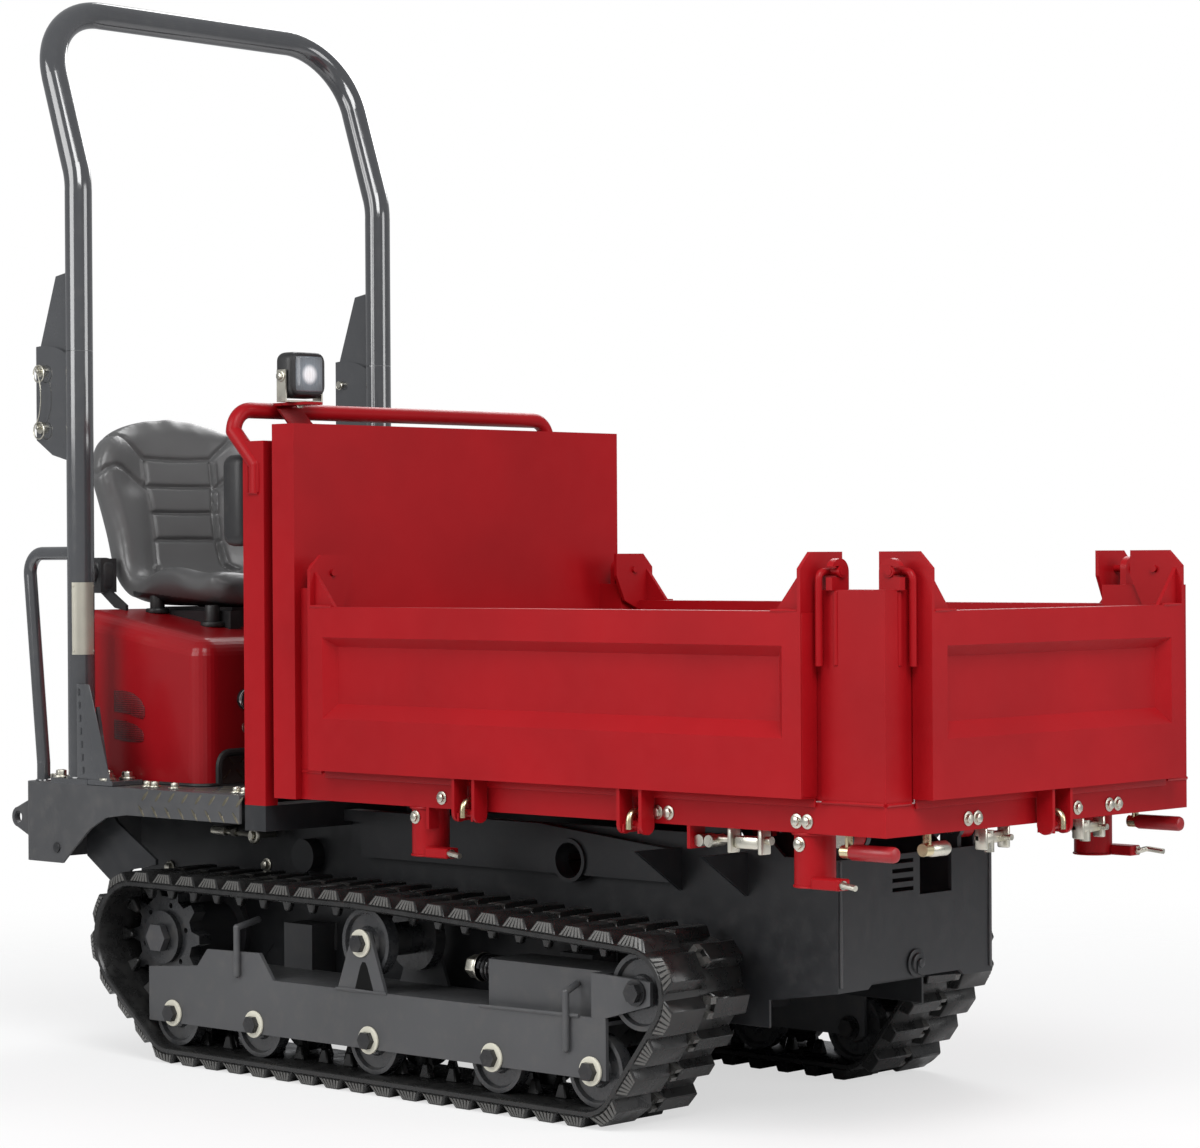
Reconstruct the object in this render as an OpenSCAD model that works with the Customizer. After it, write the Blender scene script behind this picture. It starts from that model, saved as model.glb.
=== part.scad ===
// Tracked power carrier: a small ride-on dumper on two rubber tracks.
// +X points to the tailgate, +Y to the operator's left, +Z up; the ground is z = 0.
// The layout starts at the roll-bar posts (x = 0); at_origin() moves the middle over the origin.

/* [Tracks] */
// Distance between the middles of the two rubber tracks
track_gauge = 780; // [740:5:860]
// Width of one rubber track
track_w = 230; // [200:5:260]
// Thickness of the rubber band without lugs
belt_t = 16; // [12:1:22]
// Height of the tread lugs
lug_h = 20; // [14:1:28]
// Nominal length of one track link
lug_pitch = 72; // [60:2:90]
// Height of the guide lugs inside the track
guide_h = 30; // [16:1:32]
// Width of one row of guide lugs
guide_w = 20; // [12:1:24]
// Distance between the guide rows and the middle of the track
guide_off = 36; // [33:1:40]

/* [Track wheels] */
// Radius over the sprocket teeth
sprocket_r = 115; // [105:1:120]
// Number of sprocket teeth
sprocket_teeth = 10; // [8:1:14]
// Width of the sprocket
sprocket_w = 34; // [24:1:40]
// Sprocket centre, forward of the roll-bar posts
sprocket_x = 230; // [215:5:250]
// Sprocket centre height
sprocket_z = 257; // [250:1:275]
// Radius of the front idler
idler_r = 74; // [70:1:82]
// Idler centre, forward of the roll-bar posts
idler_x = 1708; // [1695:1:1760]
// Idler centre height
idler_z = 267; // [260:1:275]
// Radius of the lower rollers
roller_r = 71; // [64:1:74]
// Middle lower roller, forward of the roll-bar posts
roller_mid_x = 969; // [960:1:980]
// Pitch of the three middle rollers
roller_in = 355; // [330:5:360]
// Pitch from these to the end rollers
roller_out = 267; // [250:1:270]
// Radius of the carrier roller
carrier_r = 70; // [64:1:74]
// Carrier roller, forward of the roll-bar posts
carrier_x = 946; // [900:1:1000]
// Carrier roller centre height
carrier_z = 303; // [300:1:312]
// Width over a roller's two discs
roller_w = 160; // [150:2:164]
// Width of one roller disc
disc_w = 28; // [20:1:29]
// Radius of a roller's spool between its discs
spool_r = 34; // [28:1:36]
// Radius of the wheel axles
axle_r = 12; // [9:0.5:15]

/* [Track frame] */
// Thickness of the track frame plates
plate_t = 8; // [5:1:8]
// Lower edge of the track frame
rail_bot_z = 86; // [82:1:92]
// Upper edge of the track frame rail
rail_top_z = 204; // [190:1:208]
// Top of the raised gusset behind the rail
gusset_z = 258; // [230:1:275]
// Wire radius of the tension spring
spring_wire = 4.5; // [3:0.5:5]
// Mean radius of the tension spring
spring_r = 23; // [20:0.5:26]
// Curls of the tension spring
spring_turns = 5; // [3:1:6]
// Free space taken by the tension spring
spring_len = 64; // [56:1:72]
// Radius of the round-bar step handles
step_r = 7; // [5:0.5:9]

/* [Chassis] */
// Half width of the chassis box between the tracks
chassis_half = 240; // [220:2:250]
// Thickness of the chassis plates
wall = 8; // [6:1:10]
// Underside of the chassis
chassis_bot = 240; // [225:1:250]
// Top edge of the chassis sides
chassis_top = 549; // [535:1:555]
// Rear end of the chassis, behind the roll-bar posts
chassis_back = 60; // [40:1:80]
// Outer face of the tail plate, forward of the roll-bar posts
tail_plate_x = 2000; // [1990:1:2010]
// Top of the tail plate
tail_plate_top = 515; // [500:1:518]
// Radius of the cross tubes through the sides
cross_tube_r = 36; // [28:1:42]

/* [Deck] */
// Top of the operator's deck
deck_z = 588; // [575:1:600]
// Thickness of the deck plate
deck_t = 6; // [4:1:10]
// Half width of the deck
deck_half = 492; // [488:1:500]
// Rear end of the deck, behind the roll-bar posts
deck_back = 170; // [160:1:190]
// Front end of the deck, forward of the roll-bar posts
deck_front = 581; // [570:1:585]
// Lower edge of the deck skirt at the rear
skirt_z = 410; // [395:1:430]
// Lower edge of the deck skirt at the side
sill_edge_z = 528; // [515:1:540]
// Radius of the deck's rear corners
deck_round = 30; // [15:1:50]
// Hole radius of the tie-down eyes
eye_r = 14; // [10:0.5:18]
// Reach of the tie-down eyes behind the deck
eye_reach = 80; // [60:1:90]

/* [Roll bar] */
// Radius of the roll-bar tube
rops_r = 30.25; // [25:0.25:34]
// How far the posts' middle stands in from the deck's edge
post_in = 37; // [35:1:47]
// Height of the joint between posts and hoop
split_z = 1553; // [1530:1:1580]
// Height where the hoop starts to lean back
lean_z = 1940; // [1900:5:1980]
// Lean of the hoop
lean_deg = 19; // [10:1:25]
// Length of the leaning part up to the top bar
lean_len = 420; // [380:5:450]
// Corner radius of the hoop
hoop_round = 170; // [120:5:200]
// Height of the fold pin
fold_z = 1385; // [1370:1:1395]
// Fold pin behind the posts
fold_back = 115; // [105:1:125]
// Height of the lock pin
lock_z = 1513; // [1500:1:1520]
// Radius of the fold and lock pins
rops_pin_r = 8; // [6:0.5:10]
// Thickness of the hoop's fold plate
fold_t = 12; // [8:1:16]
// Radius of the rear handrails
handrail_r = 15; // [12:0.5:18]

/* [Operator's place] */
// Half width of the engine cover
cover_half = 378; // [350:2:384]
// Rear end of the engine cover, behind the roll-bar posts
cover_back = 150; // [140:1:160]
// Front face of the engine cover, forward of the roll-bar posts
cover_front = 325; // [310:1:340]
// Top of the engine cover at its rear
cover_top = 974; // [965:1:977]
// Fall of the cover's top towards the front
cover_fall = 58; // [45:1:65]
// Edge radius of the engine cover
cover_round = 45; // [30:1:60]
// Sheet thickness of the engine cover
cover_t = 5; // [3:0.5:8]
// Half width of the seat
seat_half = 235; // [215:1:250]
// Length of the seat cushion
seat_len = 325; // [310:5:340]
// Length of the backrest
back_len = 340; // [330:5:380]
// Front edge of the cushion, forward of the roll-bar posts
seat_front = 225; // [205:1:240]
// Height of the seat base above the cover's rear edge
seat_base_h = 4; // [3:1:12]
// Fore and aft size of the guard posts
guard_post = 66; // [56:1:66]
// Rear face of the guard posts, forward of the roll-bar posts
guard_x = 591; // [588:1:600]
// How far the guard's posts stand in from the deck's edge
guard_in = 7; // [0:1:14]
// Top of the guard posts
guard_top = 1335; // [1315:1:1350]
// Radius of the grab rail
grab_r = 17; // [14:0.5:19]
// Height of the grab rail
grab_z = 1403; // [1390:1:1415]
// Width of the work light
light_w = 92; // [80:1:100]
// Height of the work light
light_h = 84; // [74:1:90]
// Depth of the work light
light_d = 56; // [46:1:62]
// How far the work light stands in from the guard's side
light_in = 140; // [115:1:165]

/* [Load bed] */
// Bed front, forward of the roll-bar posts
bed_front = 759; // [750:1:770]
// Bed tail, forward of the roll-bar posts
bed_tail = 2302; // [2290:1:2320]
// Half width over the bed sills
bed_half = 474; // [465:1:480]
// Underside of the bed sills
sill_z = 588; // [584:1:592]
// Height of the bed sills with the floor
sill_h = 57; // [54:1:62]
// Thickness of the bed floor
floor_t = 8; // [5:1:10]
// Top of the headboard
head_top = 1368; // [1350:1:1385]
// Half width of the headboard
head_half = 491; // [484:1:496]
// Depth of the headboard's side flange
head_flange = 62; // [50:1:64]
// Lower edge of the boards
board_bot = 653; // [650:1:658]
// Upper edge of the boards
board_top = 988; // [970:1:1000]
// Thickness over the boards
board_t = 45; // [38:1:48]
// Depth of the pressed panel in the boards
press_d = 22; // [14:1:26]
// Sheet thickness of the boards
sheet = 4; // [3:0.5:6]
// Top of the board ears
ear_top = 1094; // [1085:1:1105]
// Height of the latch pins in the ears
latch_z = 1058; // [1054:1:1062]
// Radius of the latch rods
latch_r = 7; // [5:0.5:8]
// Drop of the latch handles
latch_drop = 168; // [140:1:190]
// Height of the boards' hinge pins
hinge_pin_z = 585; // [580:1:588]
// Dump angle that the cylinder and its slot are laid out for
dump_deg = 45; // [40:1:55]

/* [Hidden] */
$fn = 48;

// Clearances: turning on a pin, bolts in plates, and between bodies
run_fit = 0.05;
bolt_fit = 0.2;
gap = 0.5;
// A little more than a cut's depth, so that cuts run through
over = 1;
// Bends are this much slimmer or fuller than their straight tubes, and lap them by these degrees
bend_step = 0.2;
bend_lap = 1;

// Derived track sizes
track_y = track_gauge / 2;
roller_z = lug_h + belt_t + gap + roller_r;
roller_xs = [for (k = [-roller_in - roller_out, -roller_in, 0, roller_in, roller_in + roller_out])
    roller_mid_x + k];
frame_in = roller_w / 2 + 4;
frame_out = frame_in + plate_t;
washer_r = axle_r * 2.1;
washer_t = 5;
nut_h = axle_r;
spindle_r = 25;
spindle_out = sprocket_w / 2 + 14;
motor_r = 68;

// The belt's path runs counter-clockwise round these wheels: x, z, radius
wheels = [[roller_xs[0], roller_z, roller_r + gap],
    [roller_xs[4], roller_z, roller_r + gap],
    [idler_x, idler_z, idler_r + gap],
    [carrier_x, carrier_z, carrier_r + gap],
    [sprocket_x, sprocket_z, sprocket_r + gap]];
wheel_n = len(wheels);
function wheel(i) = wheels[(i + wheel_n) % wheel_n];
function span(a, b) = norm([b.x - a.x, b.y - a.y]);
// Direction from a wheel's centre to where the belt leaves it for the next wheel
function leave(a, b) = atan2(b.y - a.y, b.x - a.x) - acos((a.z - b.z) / span(a, b));
function arc_in(i) = leave(wheel(i - 1), wheel(i));
function arc_out(i) = let (a = leave(wheel(i), wheel(i + 1)), d = a - arc_in(i))
    a - 360 * floor(d / 360);
function arc_len(i) = wheel(i).z * (arc_out(i) - arc_in(i)) * PI / 180;
function run_len(i) = let (a = wheel(i), b = wheel(i + 1))
    sqrt(pow(span(a, b), 2) - pow(a.z - b.z, 2));
function part_len(i, k = 0) = k >= i ? 0 : arc_len(k) + run_len(k) + part_len(i, k + 1);
belt_len = part_len(wheel_n);
link_n = round(belt_len / lug_pitch);
link = belt_len / link_n;
// Point of the belt at a distance along its path and an offset outwards
function on_belt(t, off, i = 0) =
    let (w = wheel(i), arc = arc_len(i), run = run_len(i), a0 = arc_in(i), a1 = arc_out(i))
    t <= arc ? turn_point(w, a0 + t / w.z * 180 / PI, off)
    : t <= arc + run || i == wheel_n - 1
        ? turn_point(w, a1, off) + (t - arc) * [-sin(a1), cos(a1)]
        : on_belt(t - arc - run, off, i + 1);
function turn_point(w, a, off) = [w.x, w.y] + (w.z + off) * [cos(a), sin(a)];
// A closed outline that follows the belt, with one bump of the given shape per link
function bumpy(shape, base, rise, phase) = [for (k = [0:link_n - 1], p = shape)
    let (t = (k + p[0] + phase) * link)
    on_belt(t >= belt_len ? t - belt_len : t, base + p[1] * rise)];
// The smooth inner face of the belt, in steps of about 5 degrees on the wheels
function smooth_loop(off) = [for (i = [0:wheel_n - 1])
    let (a0 = arc_in(i), a1 = arc_out(i), n = max(2, ceil((a1 - a0) / 5)))
    for (j = [0:n]) turn_point(wheel(i), a0 + (a1 - a0) * j / n, off)];
tread_shape = [[0, 0], [0.08, 1], [0.29, 1], [0.5, 1], [0.58, 0], [0.79, 0]];
guide_shape = [[0, 0], [0.1, 1], [0.32, 1], [0.42, 0], [0.7, 0]];

// Derived machine places
board_gap = 1;
tail_end = bed_tail + board_gap + board_t;
deck_under = deck_z - deck_t;
floor_z = sill_z + sill_h;
chassis_floor = chassis_bot + wall;
guard_foot = deck_under - 13;
guard_front = guard_x + guard_post;
guard_half = deck_half - guard_in;
post_y = deck_half - post_in;
light_y = guard_half - light_in;

// Dump geometry: hinge A, cylinder foot B and rod pin C, with AB = AC and 60 degrees between
dump_x = tail_plate_x - 25;
dump_z = tail_plate_top + 40;
dump_arm = (dump_z - chassis_floor - 22) / sin(60);
foot_x = dump_x - dump_arm * cos(60);
foot_z = dump_z - dump_arm * sin(60);
rod_pin_x = dump_x - dump_arm;
rod_pin_z = dump_z;
dump_pin_r = 14;
dump_lug_r = 26;
ram_w = 50;
barrel_r = 25;
rod_r = 18;
bore_end = 40;
function ram_len(deg) = 2 * dump_arm * sin((60 + deg) / 2);
ram_stroke = ram_len(dump_deg) - ram_len(0);
// The rod moves in step with the bed, so its eye is slotted for what a true ram would add
rod_slot = ram_len(dump_deg / 2) - ram_len(0) - ram_stroke / 2 + 2;

// Boards: local y = 0 on the inner face, outwards positive
post_len = 147;
post_w = 74;
lug_rise = 32;
post_top = latch_z - lug_rise;
end_room = 8;
front_post_len = 67;
side_x0 = bed_front + front_post_len + 6;
side_len = bed_tail - post_len - end_room - side_x0;
tail_len = 2 * (bed_half - post_w - 2);
pin_in = 17;
ear_t = 8;
ear_w = 57;
hinge_out = 22;
hook_pair = 48;
side_hooks = [447, 891];
bracket_r = 18;
board_pin_r = 8;
saddle_t = 5;
bar_in = 26;
bar_z = sill_z + 18;
bar_r = 8;
hook_r = 6;
hook_z = bar_z + 4;
hook_room = 16;
lever_at = side_x0 + side_len + 45;
tail_lever_at = -328;
lever_t = 8;
grip_r = 12;
lug_at = 28;
lug_t = 14;
lug_r = 24;
latch_room = 3;
socket_r = 38;

module at_origin() {
    translate([-mid_x, 0, 0])
        children();
}

// Shapes drawn for the left side (+Y); side -1 mirrors them to the right
module on_side(side) {
    if (side < 0)
        mirror([0, 1, 0])
            children();
    else
        children();
}

module both_sides() {
    for (side = [-1, 1])
        on_side(side)
            children();
}

module box(x, y, z) {
    translate([x[0], y[0], z[0]])
        cube([x[1] - x[0], y[1] - y[0], z[1] - z[0]]);
}

// Cylinders along each axis between two places
module along_x(r, x, y, z) {
    translate([x[0], y, z])
        rotate([0, 90, 0])
            cylinder(r = r, h = x[1] - x[0]);
}

module along_y(r, x, y, z) {
    translate([x, y[0], z])
        rotate([-90, 0, 0])
            cylinder(r = r, h = y[1] - y[0]);
}

module along_z(r, x, y, z) {
    translate([x, y, z[0]])
        cylinder(r = r, h = z[1] - z[0]);
}

// An (x, z) outline as a plate between two y places
module plate_xz(y) {
    translate([0, y[1], 0])
        rotate([90, 0, 0])
            linear_extrude(y[1] - y[0])
                children();
}

// A (y, z) outline as a bar between two x places
module bar_yz(x) {
    translate([x[0], 0, 0])
        rotate([90, 0, 90])
            linear_extrude(x[1] - x[0])
                children();
}

// A straight rod between two points, with a ball at its end for the next one
module rod(a, b, r) {
    d = b - a;
    translate(a)
        rotate([0, acos(d.z / norm(d)), atan2(d.y, d.x)])
            cylinder(r = r, h = norm(d));
    translate(b)
        sphere(r = r + bend_step);
}

// A bend about the z axis that reaches a little into the straight tubes at its ends
module tube_bend(r, bend, angle) {
    rotate([0, 0, -bend_lap])
        rotate_extrude(angle = angle + 2 * bend_lap)
            translate([bend, 0])
                circle(r = r - bend_step);
}

// Body colours
red = [0.63, 0.11, 0.13];
dark_grey = [0.28, 0.28, 0.29];
black = [0.1, 0.1, 0.1];
zinc = [0.75, 0.74, 0.68];
gold = [0.75, 0.65, 0.4];

// Rubber tracks

module belt_strip(y, outer, inner) {
    n = len(outer);
    m = len(inner);
    plate_xz(y)
        polygon(concat(outer, inner), [[for (k = [0:n - 1]) k], [for (k = [0:m - 1]) n + k]]);
}

module track_belt() {
    half = track_w / 2;
    row = [guide_off - guide_w / 2, guide_off + guide_w / 2];
    plain = smooth_loop(0);
    guides = bumpy(guide_shape, 0, -guide_h, 0);
    for (side = [-1, 1]) {
        tread = bumpy(tread_shape, belt_t, lug_h, side < 0 ? 0 : 0.5);
        for (s = [[0, row[0], false], [row[0], row[1], true], [row[1], half, false]])
            belt_strip([track_y + (side < 0 ? -s[1] : s[0]), track_y + (side < 0 ? -s[0] : s[1])],
                tread, s[2] ? guides : plain);
    }
}

module track_belts() {
    color(black)
        both_sides()
            track_belt();
}

// Track wheels, drawn on the left track

module sprocket() {
    root = sprocket_r * 0.78;
    step = 360 / sprocket_teeth;
    hub_r = 58;
    holes = 6;
    difference() {
        union() {
            plate_xz([track_y - sprocket_w / 2, track_y + sprocket_w / 2])
                polygon([for (k = [0:sprocket_teeth - 1], p = [[-0.3, root], [-0.13, sprocket_r],
                    [0.13, sprocket_r], [0.3, root]])
                    [sprocket_x, sprocket_z] + p[1] * [cos((k + p[0]) * step), sin((k + p[0]) * step)]]);
            along_y(hub_r, sprocket_x, [track_y - sprocket_w / 2 - 8, track_y + sprocket_w / 2 + 12],
                sprocket_z);
        }
        along_y(spindle_r + run_fit, sprocket_x, [track_y - track_w, track_y + track_w], sprocket_z);
        for (k = [0:holes - 1])
            along_y(6, sprocket_x + 72 * cos(k * 360 / holes + 15), [track_y - track_w, track_y + track_w],
                sprocket_z + 72 * sin(k * 360 / holes + 15));
    }
}

// A turned wheel with two dished discs on a spool, bored for its axle
module spool_wheel(x, z, r) {
    h = roller_w / 2;
    lip = r - 9;
    dish = r - 13;
    boss = spool_r - 4;
    translate([x, track_y, z])
        rotate([90, 0, 0])
            rotate_extrude($fn = 72)
                polygon([[axle_r + run_fit, -h], [boss, -h], [boss + 4, -h + 8], [dish, -h + 8], [lip, -h],
                    [r, -h], [r, -h + disc_w], [spool_r, -h + disc_w], [spool_r, h - disc_w],
                    [r, h - disc_w], [r, h], [lip, h], [dish, h - 8], [boss + 4, h - 8], [boss, h],
                    [axle_r + run_fit, h]]);
}

module lower_roller(side, k) {
    color(dark_grey)
        on_side(side)
            spool_wheel(roller_xs[k], roller_z, roller_r);
}

module carrier_roller(side) {
    color(dark_grey)
        on_side(side)
            spool_wheel(carrier_x, carrier_z, carrier_r);
}

module idler(side) {
    color(dark_grey)
        on_side(side)
            spool_wheel(idler_x, idler_z, idler_r);
}

module drive_sprocket(side) {
    color(dark_grey)
        on_side(side)
            sprocket();
}

// Axle places: x and z of every wheel that turns on a bolt
axle_places = concat([for (x = roller_xs) [x, roller_z]], [[carrier_x, carrier_z], [idler_x, idler_z]]);

module wheel_axle(x, z) {
    along_y(axle_r, x, [track_y - frame_out, track_y + frame_out], z);
    for (end = [-1, 1]) {
        face = track_y + end * frame_out;
        outer = [for (d = [0, end * washer_t]) face + d];
        along_y(washer_r, x, [min(outer), max(outer)], z);
        nut = [for (d = [end * washer_t, end * (washer_t + nut_h)]) face + d];
        translate([x, min(nut), z])
            rotate([-90, 0, 0])
                cylinder(r = axle_r * 1.6, h = nut_h, $fn = 6);
    }
}

module wheel_axles() {
    color(zinc)
        both_sides()
            for (p = axle_places)
                wheel_axle(p[0], p[1]);
}

// Track frame: two rail plates, a top plate, the carrier bracket and the chassis arms

tension_x = idler_x - 425;
yoke_top = idler_z + 28;
spring_x = tension_x - wall - spring_len;

module axle_holes() {
    for (p = axle_places)
        along_y(axle_r + bolt_fit, p[0], [track_y - track_w, track_y + track_w], p[1]);
}

module track_frame() {
    rear = roller_xs[0] - 82;
    front = roller_xs[4] + 38;
    inner_rear = sprocket_x + motor_r;
    arm_xs = [roller_xs[1] - 60, roller_xs[3] + 60];
    difference() {
        union() {
            plate_xz([track_y + frame_in, track_y + frame_out])
                polygon([[rear, rail_bot_z], [front, rail_bot_z + 6], [front, rail_top_z + 6],
                    [rear + 409, rail_top_z], [rear + 365, gusset_z], [rear + 196, gusset_z - 4],
                    [rear + 163, rail_top_z + 12], [rear, rail_top_z - 2]]);
            plate_xz([track_y - frame_out, track_y - frame_in])
                polygon([[inner_rear, rail_bot_z], [front, rail_bot_z + 6], [front, rail_top_z],
                    [inner_rear, rail_top_z]]);
            box([sprocket_x + sprocket_r + 30, front], [track_y - frame_in, track_y + frame_in],
                [rail_top_z - plate_t, rail_top_z]);
            // Carrier roller bracket
            for (y = [frame_in, -frame_out])
                plate_xz([track_y + y, track_y + y + plate_t])
                    polygon([[carrier_x - 75, rail_top_z - plate_t], [carrier_x + 75, rail_top_z - plate_t],
                        [carrier_x + 24, carrier_z + 24], [carrier_x - 24, carrier_z + 24]]);
            // Bracket that takes the tension bolt
            box([tension_x - wall, tension_x], [track_y - 45, track_y + 45], [rail_top_z, yoke_top]);
            // Arms to the chassis
            for (x = arm_xs)
                box([x - 45, x + 45], [chassis_half, track_y - frame_in],
                    [rail_top_z - 64, chassis_bot + 60]);
            step_handle(rear + 300, gusset_z + 50, gusset_z - 50, 60);
            step_handle(idler_x - 178, rail_top_z + 50, rail_top_z - 60, 30);
        }
        axle_holes();
        along_x(axle_r + bolt_fit, [tension_x - track_w, tension_x + over], track_y, idler_z);
    }
}

// Bent round bar welded to the outer rail plate
module step_handle(x, top, bottom, run) {
    y = track_y + frame_out + step_r - 1;
    rod([x, y, bottom], [x, y, top], step_r);
    rod([x, y, top], [x, y - run, top + 12], step_r);
    translate([x, y, bottom])
        sphere(r = step_r);
}

module track_frames() {
    color(dark_grey)
        both_sides()
            track_frame();
}

// Sliding yoke that holds the idler, with its tension bolt
module idler_yoke() {
    tip = idler_x + 36;
    root = idler_x - idler_r - 38;
    difference() {
        union() {
            box([tension_x, root], [track_y - 60, track_y + 60], [rail_top_z, yoke_top]);
            box([root - 4, root + 28], [track_y - frame_out, track_y + frame_out],
                [rail_top_z + 6, yoke_top]);
            for (y = [frame_in, -frame_out])
                plate_xz([track_y + y, track_y + y + plate_t])
                    polygon([[root - 4, rail_top_z + 6], [root + 28, rail_top_z + 6], [tip, idler_z - 22],
                        [tip, idler_z + 22], [root + 28, yoke_top], [root - 4, yoke_top]]);
            along_x(axle_r, [spring_x - 26, tension_x], track_y, idler_z);
            along_x(spring_r + 6, [spring_x - 5, spring_x], track_y, idler_z);
            translate([spring_x - 17, track_y, idler_z])
                rotate([0, 90, 0])
                    cylinder(r = axle_r * 1.6, h = 12, $fn = 6);
        }
        axle_holes();
    }
}

module idler_yokes() {
    color(dark_grey)
        both_sides()
            idler_yoke();
}

// Tension spring: one unbroken wire of even curls between its two flat seats
spring_rings = spring_turns * 8;
spring_sides = 6;
spring_room = spring_len - 2 * spring_wire - 0.6;
function spring_mid(k) = let (a = k * 45)
    [spring_x + 0.3 + spring_wire + spring_room * k / spring_rings, track_y + spring_r * cos(a),
        idler_z + spring_r * sin(a)];
function spring_ring(k) = let (a = k * 45, out = [0, cos(a), sin(a)], fwd = [1, 0, 0])
    [for (j = [0:spring_sides - 1]) let (b = j * 360 / spring_sides)
        spring_mid(k) + spring_wire * (cos(b) * out + sin(b) * fwd)];
spring_gap = min([for (k = [0:spring_rings - 8]) norm(spring_mid(k) - spring_mid(k + 8))]) - 2 * spring_wire;
echo(spring_gap = spring_gap);

module tension_spring() {
    n = spring_sides;
    pts = [for (k = [0:spring_rings]) each spring_ring(k)];
    skin = [for (k = [0:spring_rings - 1], j = [0:n - 1])
        let (a = k * n + j, b = k * n + (j + 1) % n)
        each [[a, a + n, b], [b, a + n, b + n]]];
    caps = concat([for (j = [1:n - 2]) [0, j, j + 1]],
        [for (j = [1:n - 2]) let (e = spring_rings * n) [e, e + j + 1, e + j]]);
    polyhedron(pts, concat(skin, caps));
}

module tension_springs() {
    color(zinc)
        both_sides()
            tension_spring();
}

// Travel motor with its drive spindle
module travel_motors() {
    flange_r = 92;
    inner = chassis_half - 90;
    end = track_y - sprocket_w / 2 - 8 - gap;
    color(dark_grey)
        both_sides() {
            along_y(motor_r, sprocket_x, [inner, end], sprocket_z);
            along_y(flange_r, sprocket_x, [chassis_half, chassis_half + 14], sprocket_z);
            along_y(spindle_r, sprocket_x, [end, track_y + spindle_out], sprocket_z);
            translate([sprocket_x, track_y + spindle_out, sprocket_z])
                rotate([-90, 0, 0])
                    cylinder(r = spindle_r * 1.3, h = 16, $fn = 6);
        }
}

// Chassis: a welded box between the tracks

hole_x = tail_plate_x - 671;
cap_x = deck_front - 60;
cross_z = chassis_top - 70;
dump_ear_y = [140, 190];
dump_ear_t = 12;
stringer_y = 200;
side_box_t = 24;
side_box_end = hole_x + 270;
web_y = deck_half - 62;

module chassis_side() {
    difference() {
        plate_xz([chassis_half - wall, chassis_half])
            polygon([[-chassis_back, chassis_top], [-chassis_back, sprocket_z + 100],
                [sprocket_x - 95, sprocket_z - motor_r - 24], [sprocket_x + 95, sprocket_z - motor_r - 24],
                [sprocket_x + 170, chassis_bot], [tail_plate_x - 160, chassis_bot],
                [tail_plate_x, chassis_bot + 25], [tail_plate_x, tail_plate_top],
                [tail_plate_x - 130, tail_plate_top], [tail_plate_x - 170, chassis_top]]);
        along_y(motor_r + bolt_fit, sprocket_x, [chassis_half - 2 * wall, chassis_half + wall], sprocket_z);
        along_y(cross_tube_r, hole_x, [chassis_half - 2 * wall, chassis_half + wall], cross_z);
    }
    // Welded side box that carries the cross tube; its top falls towards the tail
    difference() {
        union() {
            plate_xz([chassis_half, chassis_half + side_box_t])
                polygon([[cap_x, chassis_top], [hole_x - 90, chassis_top], [side_box_end, chassis_top - 33],
                    [side_box_end, cross_z - cross_tube_r + 8], [cap_x + 190, cross_z - cross_tube_r + 8],
                    [cap_x + 190, chassis_top - 24], [cap_x, chassis_top - 24]]);
            along_y(cross_tube_r + 8, hole_x, [chassis_half, chassis_half + 30], cross_z);
        }
        along_y(cross_tube_r, hole_x, [chassis_half - over, chassis_half + 30 + over], cross_z);
    }
    along_y(cross_tube_r, cap_x + 12, [chassis_half, chassis_half + 34], cross_z - 36);
    // Sloping gusset plates below the bed hinge
    for (x = [tail_plate_x - 400, tail_plate_x - 230])
        bar_yz([x, x + wall])
            polygon([[chassis_half, chassis_top - 30], [chassis_half + 130, chassis_top - 30],
                [chassis_half, chassis_top - 115]]);
}

module chassis_sides() {
    color(dark_grey)
        both_sides()
            difference() {
                chassis_side();
                box([guard_x, guard_front], [0, guard_half], [chassis_top - 34, guard_foot]);
            }
}

// Ears, feet, pads and webs of one side of the chassis floor and beams
module chassis_brackets() {
    // Pads that the bed's stringers rest on
    for (x = [bed_front + 60, tail_plate_x - 360])
        box([x, x + 80], [stringer_y - 10, chassis_half - wall], [chassis_top - 12, sill_z + 2 - gap]);
    // Hinge ears that carry the bed pin
    for (y = dump_ear_y)
        difference() {
            union() {
                box([tail_plate_x - 100, tail_plate_x - wall], [y, y + dump_ear_t],
                    [tail_plate_top - 90, tail_plate_top]);
                along_y(dump_lug_r, dump_x, [y, y + dump_ear_t], dump_z);
                box([dump_x - dump_lug_r, dump_x + 17], [y, y + dump_ear_t], [tail_plate_top - over, dump_z]);
            }
            along_y(dump_pin_r + bolt_fit, dump_x, [y - over, y + dump_ear_t + over], dump_z);
        }
    // Feet for the dump cylinder's lower pin
    difference() {
        plate_xz([ram_w / 2 + 6, ram_w / 2 + 18])
            polygon([[foot_x - 45, chassis_floor], [foot_x + 45, chassis_floor],
                [foot_x + 24, foot_z + 20], [foot_x - 24, foot_z + 20]]);
        along_y(dump_pin_r + bolt_fit, foot_x, [0, ram_w], foot_z);
    }
    // Web below the deck, beside the track
    plate_xz([web_y, web_y + wall])
        polygon([[-6, deck_under], [-6, skirt_z + 15], [sprocket_x - 136, sprocket_z + 106],
            [sprocket_x - 80, sprocket_z + 145], [sprocket_x + 5, sprocket_z + 160],
            [sprocket_x + 5, sprocket_z + 172], [sprocket_x - 130, deck_under - 77], [30, deck_under]]);
}

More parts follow.
